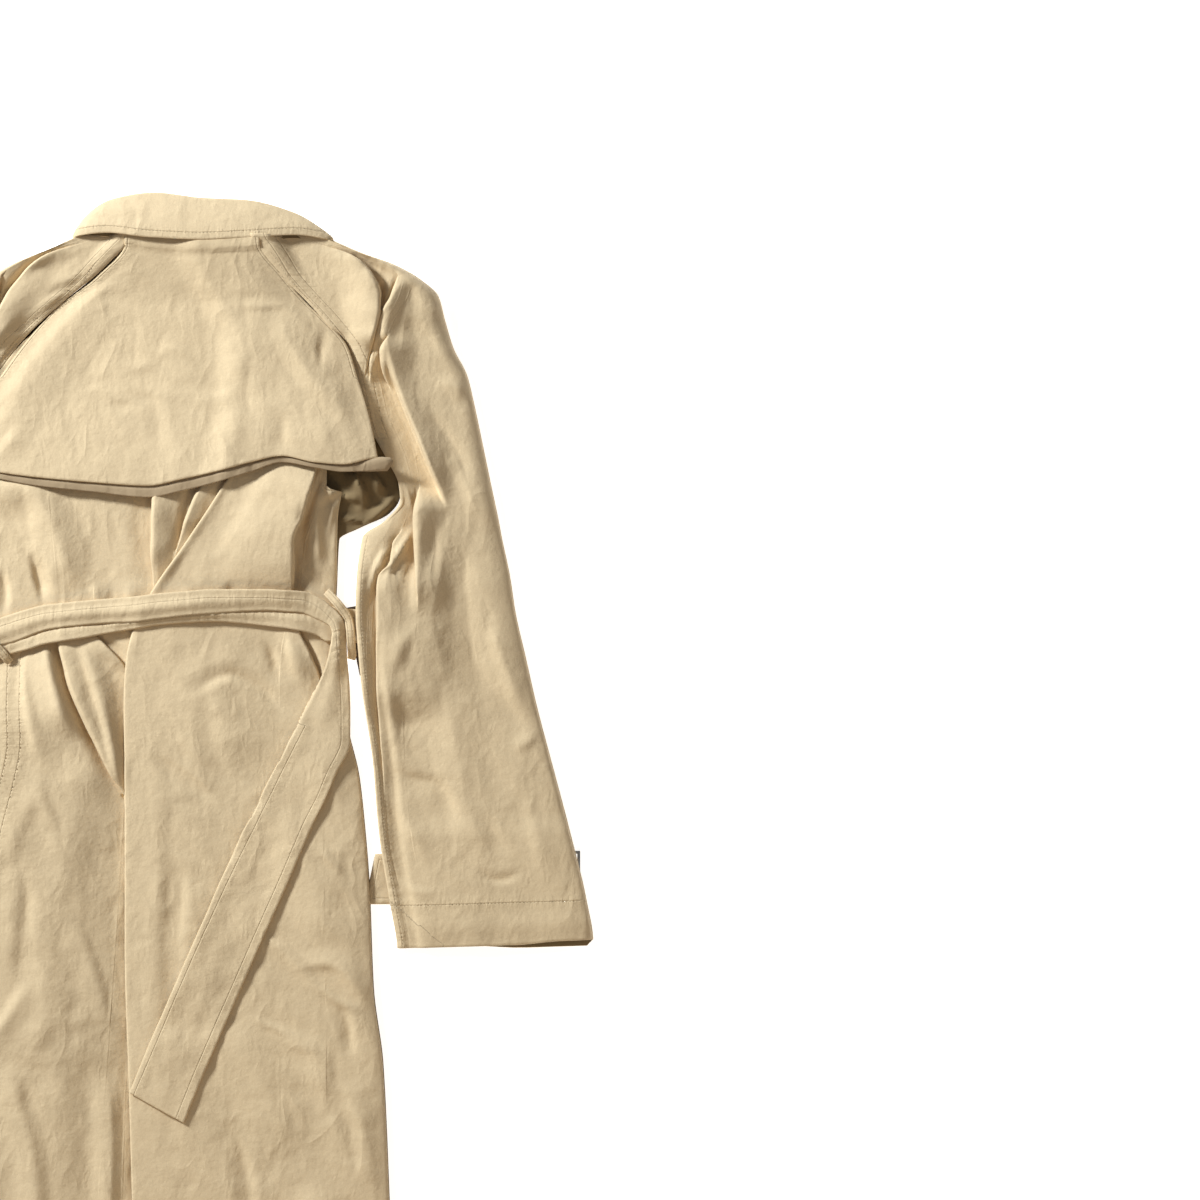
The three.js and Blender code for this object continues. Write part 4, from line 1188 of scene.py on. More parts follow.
def cloth_finish(name, colour, patches, specks, ribs, crumple, roughness, sheen, creases=2.6):
    made, tree, shader = principled(name, Sheen_Weight=sheen, Sheen_Roughness=0.45, Specular_IOR_Level=0.28)
    tone = place_group(tree, TONE, Colour=(*colour, 1), Patches=patches, Specks=specks)
    weave = place_group(tree, WEAVE, Ribs=ribs, Crumple=crumple, Creases=creases)
    seam = place_group(tree, SEAM, Depth=2.2, Gathers=4.0)
    height = maths(tree, "ADD", weave.outputs["Height"], seam.outputs["Height"])
    bump = add_node(tree, "ShaderNodeBump", Height=height, Strength=1.0, Distance=0.0002)
    tree.links.new(bump.outputs[0], shader.inputs["Normal"])
    # Painted shade: the colour is darkened toward (0.45, 0.4, 0.33) inside each stitched groove.
    groove_painted_shade = maths(tree, "MULTIPLY", seam.outputs["Shade"], 0.12)
    darker = add_node(tree, "ShaderNodeMix", {"data_type": "RGBA", "blend_type": "MULTIPLY"})
    tree.links.new(groove_painted_shade, darker.inputs[0])
    tree.links.new(tone.outputs[0], darker.inputs[6])
    darker.inputs[7].default_value = (0.45, 0.4, 0.33, 1)
    tree.links.new(darker.outputs[2], shader.inputs["Base Color"])
    place = tree.nodes.new("ShaderNodeTexCoord").outputs["Object"]
    patchy = add_node(tree, "ShaderNodeTexNoise", Vector=place, Scale=60.0, Detail=2.0)
    rough = maths(tree, "ADD", maths(tree, "MULTIPLY", patchy.outputs[0], 0.12), roughness - 0.06)
    tree.links.new(rough, shader.inputs["Roughness"])
    return made


def thread_finish():
    made, tree, shader = principled("thread", Sheen_Weight=0.2)
    place = tree.nodes.new("ShaderNodeTexCoord").outputs["Object"]
    twist = add_node(tree, "ShaderNodeTexNoise", Vector=place, Scale=1600.0, Detail=1.0)
    ramp = add_node(tree, "ShaderNodeValToRGB", Fac=twist.outputs[0])
    ramp.color_ramp.elements[0].color = (0.44, 0.33, 0.19, 1)
    ramp.color_ramp.elements[1].color = (0.66, 0.52, 0.33, 1)
    tree.links.new(ramp.outputs[0], shader.inputs["Base Color"])
    rough = maths(tree, "ADD", maths(tree, "MULTIPLY", twist.outputs[0], 0.2), 0.5)
    tree.links.new(rough, shader.inputs["Roughness"])
    return made


def horn_finish():
    made, tree, shader = principled("horn", Coat_Weight=0.3, Coat_Roughness=0.12)
    place = tree.nodes.new("ShaderNodeTexCoord").outputs["Object"]
    stretched = add_node(tree, "ShaderNodeMapping", Vector=place, Scale=(60, 260, 60), Rotation=(0, 0, 0.4))
    grain = add_node(tree, "ShaderNodeTexNoise", Vector=stretched.outputs[0], Scale=1.0, Detail=5.0)
    ramp = add_node(tree, "ShaderNodeValToRGB", Fac=grain.outputs[0])
    ramp.color_ramp.elements[0].position = 0.3
    ramp.color_ramp.elements[0].color = (0.018, 0.011, 0.007, 1)
    ramp.color_ramp.elements[1].position = 0.75
    ramp.color_ramp.elements[1].color = (0.16, 0.09, 0.045, 1)
    tree.links.new(ramp.outputs[0], shader.inputs["Base Color"])
    rough = maths(tree, "ADD", maths(tree, "MULTIPLY", grain.outputs[0], 0.2), 0.22)
    tree.links.new(rough, shader.inputs["Roughness"])
    bump = add_node(tree, "ShaderNodeBump", Height=grain.outputs[0], Strength=0.3, Distance=0.0001)
    tree.links.new(bump.outputs[0], shader.inputs["Normal"])
    return made


def nickel_finish():
    made, tree, shader = principled("satin nickel", Metallic=1.0)
    place = tree.nodes.new("ShaderNodeTexCoord").outputs["Object"]
    brushed = add_node(tree, "ShaderNodeMapping", Vector=place, Scale=(2600, 120, 400))
    lines = add_node(tree, "ShaderNodeTexNoise", Vector=brushed.outputs[0], Scale=1.0, Detail=3.0)
    wear = add_node(tree, "ShaderNodeTexNoise", Vector=place, Scale=160.0, Detail=4.0)
    ramp = add_node(tree, "ShaderNodeValToRGB", Fac=wear.outputs[0])
    ramp.color_ramp.elements[0].position = 0.35
    ramp.color_ramp.elements[0].color = (0.44, 0.42, 0.39, 1)
    ramp.color_ramp.elements[1].position = 0.6
    ramp.color_ramp.elements[1].color = (0.62, 0.61, 0.59, 1)
    tree.links.new(ramp.outputs[0], shader.inputs["Base Color"])
    rough = maths(tree, "ADD", maths(tree, "MULTIPLY", lines.outputs[0], 0.22), 0.2)
    tree.links.new(rough, shader.inputs["Roughness"])
    bump = add_node(tree, "ShaderNodeBump", Height=lines.outputs[0], Strength=0.25, Distance=0.00005)
    tree.links.new(bump.outputs[0], shader.inputs["Normal"])
    return made


TONE = tone_group()
WEAVE = weave_group()
SEAM = seam_group()
GABARDINE = cloth_finish("gabardine", (0.73, 0.57, 0.365), 0.07, 0.1, 0.4, 3.0, 0.8, 0.05)
# The wrong side's colour is partly its own and partly painted shade: it is darkened far below the gabardine's for the
# shade under the shield and sleeves.
WRONG_SIDE_PAINTED_SHADE = cloth_finish("gabardine wrong side with painted shade", (0.26, 0.185, 0.095), 0.09, 0.07, 0.4, 1.6, 0.85, 0.05)
THREAD_FINISH = thread_finish()
HORN = horn_finish()
NICKEL = nickel_finish()


def laid(piece, slot, flat, held, rests_on, *nodes, area=None, with_pieces=()):
    """Attaches a cloth piece to the root and hides the parts that it stands for; what it is cut from and what it lies
    on are given but not used.
    """
    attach(piece, "root")
    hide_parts(*nodes)


def area_of(grid):
    """Real area of a grid of middle points, in square metres."""
    one = np.cross(grid[1:, :-1] - grid[:-1, :-1], grid[:-1, 1:] - grid[:-1, :-1])
    two = np.cross(grid[1:, :-1] - grid[1:, 1:], grid[:-1, 1:] - grid[1:, 1:])
    total = np.linalg.norm(one, axis=-1).sum() + np.linalg.norm(two, axis=-1).sum()
    return float(0.5 * total * MM * MM)


STITCHES = []


def stitch_along(points, normals, pitch=3.4, length=2.5):
    """Notes a row of stitches along points that lie on the cloth."""
    points = np.asarray(points, float)
    runs = np.concatenate([[0], np.cumsum(np.linalg.norm(np.diff(points, axis=0), axis=1))])
    starts = np.arange(pitch * 0.3, runs[-1] - length, pitch)
    read = lambda values, at: np.stack([np.interp(at, runs, values[:, k]) for k in range(3)], axis=-1)
    normal = unit(read(np.asarray(normals, float), starts + length / 2))
    STITCHES.append((read(points, starts), read(points, starts + length), normal))


def stitch_grid(grid, thickness, row, column, pitch=3.4):
    """A row of stitches on a grid's upper face through fractional rows and columns."""
    rows, columns = grid.shape[:2]
    top = grid + facing_of(grid) * thickness / 2
    normal = facing_of(grid)
    row = np.clip(np.asarray(row, float), 0, rows - 1.001)
    column = np.clip(np.asarray(column, float), 0, columns - 1.001)
    row, column = np.broadcast_arrays(row, column)
    i, j = row.astype(int), column.astype(int)
    a, b = (row - i)[:, None], (column - j)[:, None]
    read = lambda v: mix(mix(v[i, j], v[i, j + 1], b), mix(v[i + 1, j], v[i + 1, j + 1], b), a)
    stitch_along(read(top), read(normal), pitch)


def make_stitches():
    """All noted stitches as one piece of thread: each is a short four-sided bead that dips into the cloth."""
    start = np.concatenate([row[0] for row in STITCHES])
    end = np.concatenate([row[1] for row in STITCHES])
    up = np.concatenate([row[2] for row in STITCHES])
    along = unit(end - start)
    side = unit(np.cross(along, up))
    r = THREAD / 2
    rings = []
    for share in (0.22, 0.78):
        middle = mix(start, end, share) + up * 0.12
        rings += [middle + side * r, middle + up * r, middle - side * r, middle - up * r]
    points = np.stack([start - up * 0.2, *rings, end - up * 0.2], axis=1)
    shape = [(0, 2, 1), (0, 3, 2), (0, 4, 3), (0, 1, 4), (1, 2, 6, 5), (2, 3, 7, 6), (3, 4, 8, 7), (4, 1, 5, 8),
             (5, 6, 9), (6, 7, 9), (7, 8, 9), (8, 5, 9)]
    faces = [tuple(k + 10 * n for k in face) for n in range(len(start)) for face in shape]
    mesh = bpy.data.meshes.new("stitching")
    mesh.from_pydata((points.reshape(-1, 3) * MM).tolist(), [], faces)
    mesh.materials.append(THREAD_FINISH)
    mesh.shade_smooth()
    sides = bmesh.new()
    sides.from_mesh(mesh)
    bmesh.ops.recalc_face_normals(sides, faces=sides.faces)
    sides.to_mesh(mesh)
    sides.free()
    piece = bpy.data.objects.new("stitching", mesh)
    bpy.context.collection.objects.link(piece)
    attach(piece, "root")


# Fronts


def front_right_edge(y):
    return np.where(y > 162, armhole(y), body_right(y) - 1)


def front_left_edge(y):
    return 2 * np.where(y > 262, seam_middle(y), BODY_AXIS) - front_right_edge(y)


collar_seam = curve(COLLAR, "turn", "seam")


def front_neck(x):
    turn = np.degrees(np.arccos(np.minimum(1, np.abs(x - COLLAR_MIDDLE) / COLLAR_HALF)))
    return collar_seam(-turn) - 2 * CLEAR


def front_neck_x(s):
    return mix(front_left_edge(FRONT_NECK), seam_middle(FRONT_NECK) + FRONT_OVERLAP, s)


def outer_front_height(x, y):
    raised = smooth((FRONT_OVERLAP - np.abs(x - seam_middle(y))) / 12)
    return CLOTH / 2 + np.maximum(neck_lift(y), (BUTTON_THICK + CLEAR) * raised)


def inner_front_height(x, y):
    over = smooth((seam_middle(y) + FRONT_OVERLAP + 38 - x) / 28)
    step = BUTTON_THICK + 1.6 + 3 * CLEAR
    inside = smooth((x - 168) / 12) * smooth((y - 256) / 14) * smooth((344 - y) / 14) * smooth((236 - x) / 14)
    folds = np.maximum(0, relief(FRONT_INSIDE, x, y)) * inside
    return CLOTH / 2 + neck_lift(y) + over * (step - 0.55 * neck_lift(y)) + folds


def make_fronts():
    rows = levels((FRONT_NECK, 5), (350, 2.4), (250, 8), (HEM, 8))
    outer = panel(
        np.linspace(0, 1, 56), rows, front_left_edge, lambda y: seam_middle(y) + FRONT_OVERLAP,
        lambda s: front_neck(front_neck_x(s)), lambda s: HEM + 0 * s, outer_front_height,
    )
    across = np.concatenate([np.linspace(0, 0.74, 26)[:-1], np.linspace(0.74, 1, 30)])
    inner = panel(
        across, rows, lambda y: seam_middle(y) - FRONT_OVERLAP, front_right_edge,
        lambda s: front_neck(2 * seam_middle(FRONT_NECK) - front_neck_x(1 - s)), lambda s: HEM + 0 * s,
        inner_front_height,
    )
    piece = shell("front_left_cloth", outer, CLOTH, WRONG_SIDE_PAINTED_SHADE, GABARDINE)
    laid(piece, "cloth", (0.28, 1.11), "laid", [], "front_left", area=area_of(outer))
    piece = shell("front_right_cloth", inner, CLOTH, WRONG_SIDE_PAINTED_SHADE, GABARDINE)
    laid(piece, "cloth", (0.28, 1.11), "laid", ["front_left_cloth"], "front_right", area=area_of(inner))


# Backs


def turned_under(grid, drop, height):
    """The grid with its left edge turned under, in a round bend."""
    edge = grid[:, :1]
    under = []
    for reach in (TURN_DEPTH, 0.75 * TURN_DEPTH, 0.5 * TURN_DEPTH, 4, 1.2):
        x, y = edge[..., 0] + reach, edge[..., 1]
        under.append(stack(x, y, np.minimum(edge[..., 2], height(x, y)) - drop))
    bend = []
    for angle in (-60, -30, 0, 30, 60):
        turn = math.radians(angle)
        bend.append(edge + np.array([-drop / 2 * math.cos(turn), 0, -drop / 2 + drop / 2 * math.sin(turn)]))
    return np.concatenate([*under, *bend, grid], axis=1)


SIDE_SEAM = [(-134, 150), (-133, 100), (-132, 60), (-140, 20), (-152, -30), (-162, -120), (-170, -300), (-176, -585)]


def back_rows(rows, top):
    """The y of each of a back's rows at its left side, from its neck edge to its hem."""
    rows = np.asarray(rows, float)
    return mix(top, HEM, (rows[0] - rows) / (rows[0] - rows[-1]))


def right_back_edge(y):
    """The side seam, cut in where the armhole shows under the shield."""
    notch = smooth((y - 303.5) / 3.5) * smooth((354 - y) / 6)
    return mix(body_right(y) - 1.5, 162.8, notch)


def make_backs():
    rows = levels((540, 9), (345, 2.9), (-372, 5), (HEM, 5))
    y = back_rows(rows, 534)
    across, heights = pleated_columns(
        LEFT_PLEAT_LINES, LEFT_PLEATS, LEFT_COLUMNS, body_left(y) + 1.5,
        np.minimum(vent_edge(y) + VENT_UNDERLAP, body_right(y) - 30), y, left_back_height,
    )
    grid = stack(across, y[:, None], heights)
    from_seam, run, _ = beside(rounded_path(np.array(SIDE_SEAM, float), 12), grid[..., 0], grid[..., 1])
    away = np.abs(from_seam) - 6
    grid[..., 2] += pucker(away, run, 0.35, 9, 31)
    piece = shell("back_left_cloth", grid, CLOTH, GABARDINE, WRONG_SIDE_PAINTED_SHADE, {"away": away, "run": run}, True)
    laid(piece, "cloth", (0.27, 1.13), "laid", ["front_left_cloth", "front_right_cloth"], "back_left", area=area_of(grid))
    for offset in (-6, 6):
        line = rounded_path(np.array([(x + offset, y) for x, y in SIDE_SEAM], float), 4)
        on_height(line, left_back_height)

    y = back_rows(rows, 531)
    across, heights = pleated_columns(
        RIGHT_PLEAT_LINES, RIGHT_PLEATS, RIGHT_COLUMNS, vent_edge(y) + TURN_RADIUS, right_back_edge(y), y,
        right_back_height,
    )
    grid = turned_under(stack(across, y[:, None], heights), 2 * TURN_RADIUS, right_back_height)
    piece = shell("back_right_cloth", grid, CLOTH, GABARDINE, WRONG_SIDE_PAINTED_SHADE, {"away": 60.0, "run": 0.0}, True)
    laid(piece, "cloth", (0.30, 1.13), "laid", ["back_left_cloth", "front_right_cloth"], "back_right", area=area_of(grid))


def on_height(line, height, thickness=CLOTH):
    """A row of stitches along a flat line, at the height of a panel under it."""
    x, y = line[:, 0], line[:, 1]
    z = height(x, y) + thickness / 2
    slope_x = (height(x + 1, y) - height(x - 1, y)) / 2
    slope_y = (height(x, y + 1) - height(x, y - 1)) / 2
    stitch_along(stack(x, y, z), stack(-slope_x, -slope_y, 1.0))


# Storm shield


def make_shield():
    columns = 170
    across = np.linspace(0, 1, columns)
    hem_x = mix(-192, 214, across)
    rows = np.concatenate([np.linspace(540, 350, 76), np.linspace(350, 338, 8)[1:]])
    grid = panel(
        across, rows, shield_left, shield_right,
        lambda s: neck_seam(mix(shield_left(538), shield_right(538), s)) + 12,
        lambda s: shield_hem(mix(-192, 214, s)), shield_height,
    )
    x, y = grid[..., 0], grid[..., 1]
    floor = ground.read(ground.spread(4), x, y) + CLEAR + STRAP / 2
    grid[..., 2] = np.maximum(grid[..., 2], floor)
    left_in = x - shield_left(y)
    right_in = shield_right(y) - x
    sewn_side = smooth((y - 392) / 20)
    side = np.where(left_in < right_in, left_in, right_in) - 2.5
    away = side + 60 * (1 - sewn_side)
    grid[..., 2] += pucker(side, y, 0.4, 12, 41, 6) * sewn_side
    piece = shell("storm_shield_cloth", grid, STRAP, GABARDINE, WRONG_SIDE_PAINTED_SHADE, {"away": away, "run": y})
    laid(piece, "cloth", (0.42, 0.235), "laid", ["back_left_cloth", "back_right_cloth"], "storm_shield", area=area_of(grid))

    drop = STRAP / 2 + CLOTH / 2 + 0.5
    seam = grid[-1, 2:-2] - [0, 0, drop]
    inner = grid[-14, 2:-2] - [0, 0, drop]
    hang = facing_hem(hem_x[2:-2]) - shield_hem(hem_x[2:-2])
    bands = [mix(inner, seam, s) for s in (0, 0.35, 0.7, 1)]
    tip = smooth((seam[:, 0] - 190) / 22) ** 1.5
    for share in (0.1, 0.22, 0.45, 0.7, 0.9, 1):
        groove = 1.5 * smooth(1 - np.abs(share - 0.12) / 0.14)
        sag = groove + 1.2 * share + 0.8 * facets(seam[:, 0], 0 * seam[:, 0], 14, 1, 0, 9) * share
        out = 24 * math.sin(0.75 * math.pi * share)
        down = mix(hang * share, 2.5 * math.sin(math.pi * share) - 12 * share**3, tip)
        reach = seam + stack(tip * out, down, -sag * (1 - tip) + 6 * tip * math.sin(math.pi * share))
        bands.append(reach)
    facing = np.stack(bands)
    piece = shell("shield_facing_cloth", facing, CLOTH, FACING_PAINTED_SHADE, FACING_PAINTED_SHADE, {"away": 60.0, "run": 0.0})
    laid(piece, "facing", (0.42, 0.04), "laid", ["back_left_cloth", "back_right_cloth"], "shield_facing", area=area_of(facing))


# Sleeves


def sleeve_y(y, limit, across):
    fitted = np.where(y > 440, mix(440, limit, (y - 440) / 101), y)
    return fitted + 6 * across * smooth((30 - y) / 150)


sleeve_inner, sleeve_front, sleeve_outer, sleeve_seam, sleeve_loft = [
    curve(SLEEVE, "y", name) for name in ("inner", "front", "outer", "seam", "loft")
]


fold_beside = curve({"y": np.array([280.0, 293, 328, 362, 396, 432]),
                     "x": np.array([281.0, 277, 262, 248, 234, 224])}, "y", "x")


def over_shield(y):
    """How far the sleeve's inner edge reaches over the shield, or under it further down."""
    return 4 * smooth((y - 352) / 12) + 6 * smooth((y - 480) / 40)


def sleeve_floor(side, x, y):
    under = np.maximum(strap_lift(y), neck_lift(y))
    return CLOTH / 2 + (np.maximum(under, buckle_lift(x, y)) if side > 0 else under)


def sleeve_place(side, x, y):
    """A place on the right sleeve, or the one that mirrors it on the left sleeve."""
    if side > 0:
        return x
    share = np.clip((x - sleeve_inner(y)) / (sleeve_outer(y) - sleeve_inner(y)), 0, 1)
    return 2 * mix(seam_middle(y), outer_middle(y), share) - x


def sleeve_height(side, folds, x, y):
    """Height of the sleeve's upper layer, with x as on the right sleeve."""
    inner, outer = sleeve_inner(y), sleeve_outer(y)
    s = np.clip((x - inner) / (outer - inner), 0, 1)
    to_outer = np.sqrt(1 - np.maximum(0, 1 - (1 - s) * 7) ** 2)
    to_inner = np.sqrt(1 - np.maximum(0, 1 - s * 4) ** 2)
    placed = sleeve_place(side, x, y)
    lean = -1.3 if side > 0 else -1.84
    shaped = 0.7 * relief(folds, placed, y) + 0.8 * crumpled(placed, y, lean, 15 if side > 0 else 16)
    shaped = shaped + stood_up(SLEEVE_PLEAT_LINES, SLEEVE_PLEATS, x, y)
    inset = x - inner
    body = mix(sleeve_seam(y), sleeve_loft(y), to_inner)
    strip = smooth(inset / 1.5) * np.clip((18 - inset) / 17, 0, 1) * smooth((262 - y) / 40) * smooth((y + 90) / 90)
    body = body + 6.5 * strip - 2.5 * smooth((inset - 4) / 8) * smooth((24 - inset) / 6) * smooth((250 - y) / 40)
    edge_in = smooth(s * (outer - inner) / 9)
    rise = body + shaped * np.minimum(to_inner, edge_in + 0.15)
    ridge = fold_beside(y)
    hollow = smooth((428 - y) / 30) * smooth((y - 286) / 26) * smooth((ridge - x) / 4)
    sloping = mix(10, 1.6, smooth(inset / (ridge - inner)) ** 0.8) + 0.6 * crumpled(placed, y, -1.2, 90)
    rise = np.maximum(mix(rise, sloping, hollow), 2.4)
    z = sleeve_floor(side, x, y) + 1.2 + np.maximum(0.5, rise - 1.6) * to_outer
    z = z + pucker(inset - 6, y, 0.7, 17, 51, 6) * smooth((y - 352) / 30)
    z = z + pucker(inset - 5, y, 0.5, 12, 53, 6) * smooth((250 - y) / 30)
    z = z + pucker(y + 131 - CUFF_HEM, x, 0.3, 8, 55) * to_outer
    beside_shield = np.clip(placed, shield_left(y) + 1, shield_right(y) - 1)
    lying = shield_height(beside_shield, y) + STRAP / 2 + CLOTH / 2 + 0.25
    near = smooth((20 - inset) / 16) * smooth((y - 444) / 14)
    return z + near * np.maximum(lying - z, 0)


def sleeve_grid(side, rows, folds):
    level = np.asarray(rows, float)
    y = sleeve_y(level, 538, 0.5)
    across, heights = pleated_columns(
        SLEEVE_PLEAT_LINES, SLEEVE_PLEATS, SLEEVE_COLUMNS, sleeve_inner(y) - over_shield(y), sleeve_outer(y), y,
        lambda x, y: sleeve_height(side, folds, x, y),
    )
    level, y = level[:, None], y[:, None]
    inner, outer = sleeve_inner(y), sleeve_outer(y)
    s = np.clip((across - inner) / (outer - inner), 0, 1)
    top = 540 - 0.6 * s + 6 * smooth((1 - s) / 0.25)
    upper = stack(sleeve_place(side, across, y), sleeve_y(level, top, s), heights)
    hem_line = y + 131 - CUFF_HEM
    inset = across - inner
    rows_in = np.abs(inset - 7.25) - 4.75
    double = np.where(y > 352, rows_in, np.where(y > 262, 60, inset - 5))
    away = np.where(np.abs(hem_line) < np.abs(double), hem_line, double)
    run = np.where(np.abs(hem_line) < np.abs(double), across, y)

    t = np.linspace(0.97, 0, 14)[None, :]
    low_y = sleeve_y(level, mix(518, 539.4, t), t)
    low_x = mix(sleeve_front(low_y), sleeve_outer(low_y), t)
    lower = stack(sleeve_place(side, low_x, low_y), low_y, sleeve_floor(side, low_x, low_y))
    peek = 3.5 * smooth((-100 - level) / 31)
    lower[..., 1] -= peek * smooth((t - 0.35) / 0.3) + 0 * low_y
    upper[..., 1] += peek * 0.7 * smooth((s - 0.6) / 0.25) + 0 * y
    grid = np.concatenate([upper, lower], axis=1)
    plain = np.full(lower.shape[:2], 60.0)
    marks = {"away": np.concatenate([away, plain], axis=1), "run": np.concatenate([run, 0 * plain], axis=1)}
    return grid, marks


def sleeve_stitches(side, folds, x, y):
    height = lambda x, y: sleeve_height(side, folds, x, y)
    slope_x = (height(x + 1, y) - height(x - 1, y)) / 2
    slope_y = (height(x, y + 1) - height(x, y - 1)) / 2
    z = height(x, y) + CLOTH / 2
    across = np.clip((x - sleeve_inner(y)) / (sleeve_outer(y) - sleeve_inner(y)), 0, 1)
    placed_y = y + 6 * (across - 0.5) * smooth((30 - y) / 150)
    stitch_along(stack(sleeve_place(side, x, y), placed_y, z), stack(-slope_x * side, -slope_y, 1.0))


def make_sleeves():
    for name, side, folds, fine in (("right", 1, SLEEVE_RIGHT, 2.5), ("left", -1, SLEEVE_LEFT, 3.4)):
        rows = levels((541, fine), (-131, fine))
        grid, marks = sleeve_grid(side, rows, folds)
        turned = grid if side > 0 else grid[:, ::-1]
        if side < 0:
            marks = {key: value[:, ::-1] for key, value in marks.items()}
        piece = shell(f"sleeve_{name}_cloth", turned, CLOTH, GABARDINE, WRONG_SIDE_PAINTED_SHADE, marks, True)
        laid(piece, "cloth", (0.40, 0.72), "laid", [f"cuff_strap_{name}_cloth"], f"sleeve_{name}", area=area_of(turned))
        for inset, high, low in ((2.5, 530, 362), (12, 530, 362), (5, 250, -128)):
            y = np.arange(high, low, -2.0)
            sleeve_stitches(side, folds, sleeve_inner(y) + inset, y)
        share = np.linspace(0.02, 0.97, 150)
        y = np.full(150, CUFF_HEM - 131.0)
        sleeve_stitches(side, folds, mix(sleeve_inner(y), sleeve_outer(y), share), y)


# Cuff straps, collar, belt and loops


def make_cuff_straps():
    for name, start, end in (("right", 204, 386), ("left", -215, -392)):
        x = np.linspace(max(start, end), min(start, end), 62)[:, None]
        s = np.linspace(-1, 1, 18)[None, :]
        y = CUFF_STRAP_Y + s * CUFF_STRAP_HALF + 0 * x
        from_end = np.minimum(np.abs(x - start), np.abs(x - end)) + 0 * s
        edge = np.minimum((1 - np.abs(s)) * CUFF_STRAP_HALF, from_end) + 0 * x
        z = STRAP / 2 + 0.25 * (1 + np.sin(x / 4.1)) * smooth(1 - edge / 9)
        lean = 5 * s * smooth((24 - np.abs(x - start)) / 24) * (1 if start > 0 else -1)
        grid = stack(x + lean, y, z)
        piece = shell(f"cuff_strap_{name}_cloth", grid, STRAP, GABARDINE, GABARDINE, {"away": edge - 5, "run": x + y})
        laid(piece, "cloth", (0.047, 0.182), "laid", [], f"cuff_strap_{name}", area=area_of(grid))
        for column in (1.9, 15.1):
            stitch_grid(grid, STRAP, np.linspace(1, 60, 200), column)


def collar_point(turn, y, out, floor):
    angle = np.radians(turn)
    rise = np.sin(angle)
    above = (COLLAR_RISE + out) * np.maximum(rise, 0) ** 0.42
    below = (COLLAR_DIP + out) * np.minimum(rise, 0)
    x = COLLAR_MIDDLE + (COLLAR_HALF + out) * np.cos(angle)
    return stack(x, y, np.maximum(floor, COLLAR_SIDE + above + below))


def make_collar():
    seam, roll, free, lift = [curve(COLLAR, "turn", name) for name in ("seam", "roll", "free", "lift")]
    turn = np.linspace(-78, 258, 190)[:, None]
    s = np.linspace(0, 1, 14)[None, :]
    stand = collar_point(turn, mix(seam(turn), roll(turn) - 1, s), 0 * s, STRAP + CLEAR + CLOTH / 2)
    gap = STRAP / 2 + CLOTH / 2 + 1.2
    s = np.linspace(0, 1, 22)[None, :]
    y = mix(roll(turn), free(turn), s)
    out = gap + lift(turn) * s + 1.5 * np.sin(math.pi * s)
    leaf = collar_point(turn, y, out, STRAP / 2)
    on_top = smooth((np.sin(np.radians(turn)) - 0.1) / 0.4)
    leaf[..., 2] += on_top * (0.7 * swell(leaf[..., 0], y, 22, 61) + 0.35 * swell(leaf[..., 0], y, 9, 62)) * np.sin(math.pi * s)
    fall = np.abs(roll(turn) - free(turn)) + 0 * s
    from_free = (1 - s) * fall
    x = leaf[..., 0]
    leaf[..., 2] += on_top * pucker(from_free - 6, x, 0.3, 7, 63) * smooth((fall - 16) / 10)
    piece = shell("collar_stand_cloth", stand, CLOTH, GABARDINE, WRONG_SIDE_PAINTED_SHADE, {"away": 60.0, "run": 0.0})
    laid(piece, "cloth", (0.44, 0.045), "folded", ["storm_shield_cloth"], "collar_stand", area=area_of(stand))
    piece = shell("collar_leaf_cloth", leaf, STRAP, GABARDINE, WRONG_SIDE_PAINTED_SHADE, {"away": from_free - 6, "run": x})
    laid(piece, "cloth", (0.47, 0.065), "folded", ["collar_stand_cloth"], "collar_leaf", area=area_of(leaf))
    row = np.arange(2, 188, 0.25)
    column = 21 - 6 / np.maximum(np.interp(row, np.arange(190), fall[:, 0]), 9) * 21
    stitch_grid(leaf, STRAP, row, column)


def blurred(values, rows, columns):
    """The mean of each value's neighbours within so many rows and columns."""
    for axis, reach in ((0, rows), (1, columns)):
        pad = [(0, 0), (0, 0)]
        pad[axis] = (reach, reach)
        wide = np.pad(values, pad, mode="edge")
        size = values.shape[axis]
        values = sum(np.take(wide, range(k, k + size), axis) for k in range(2 * reach + 1)) / (2 * reach + 1)
    return values


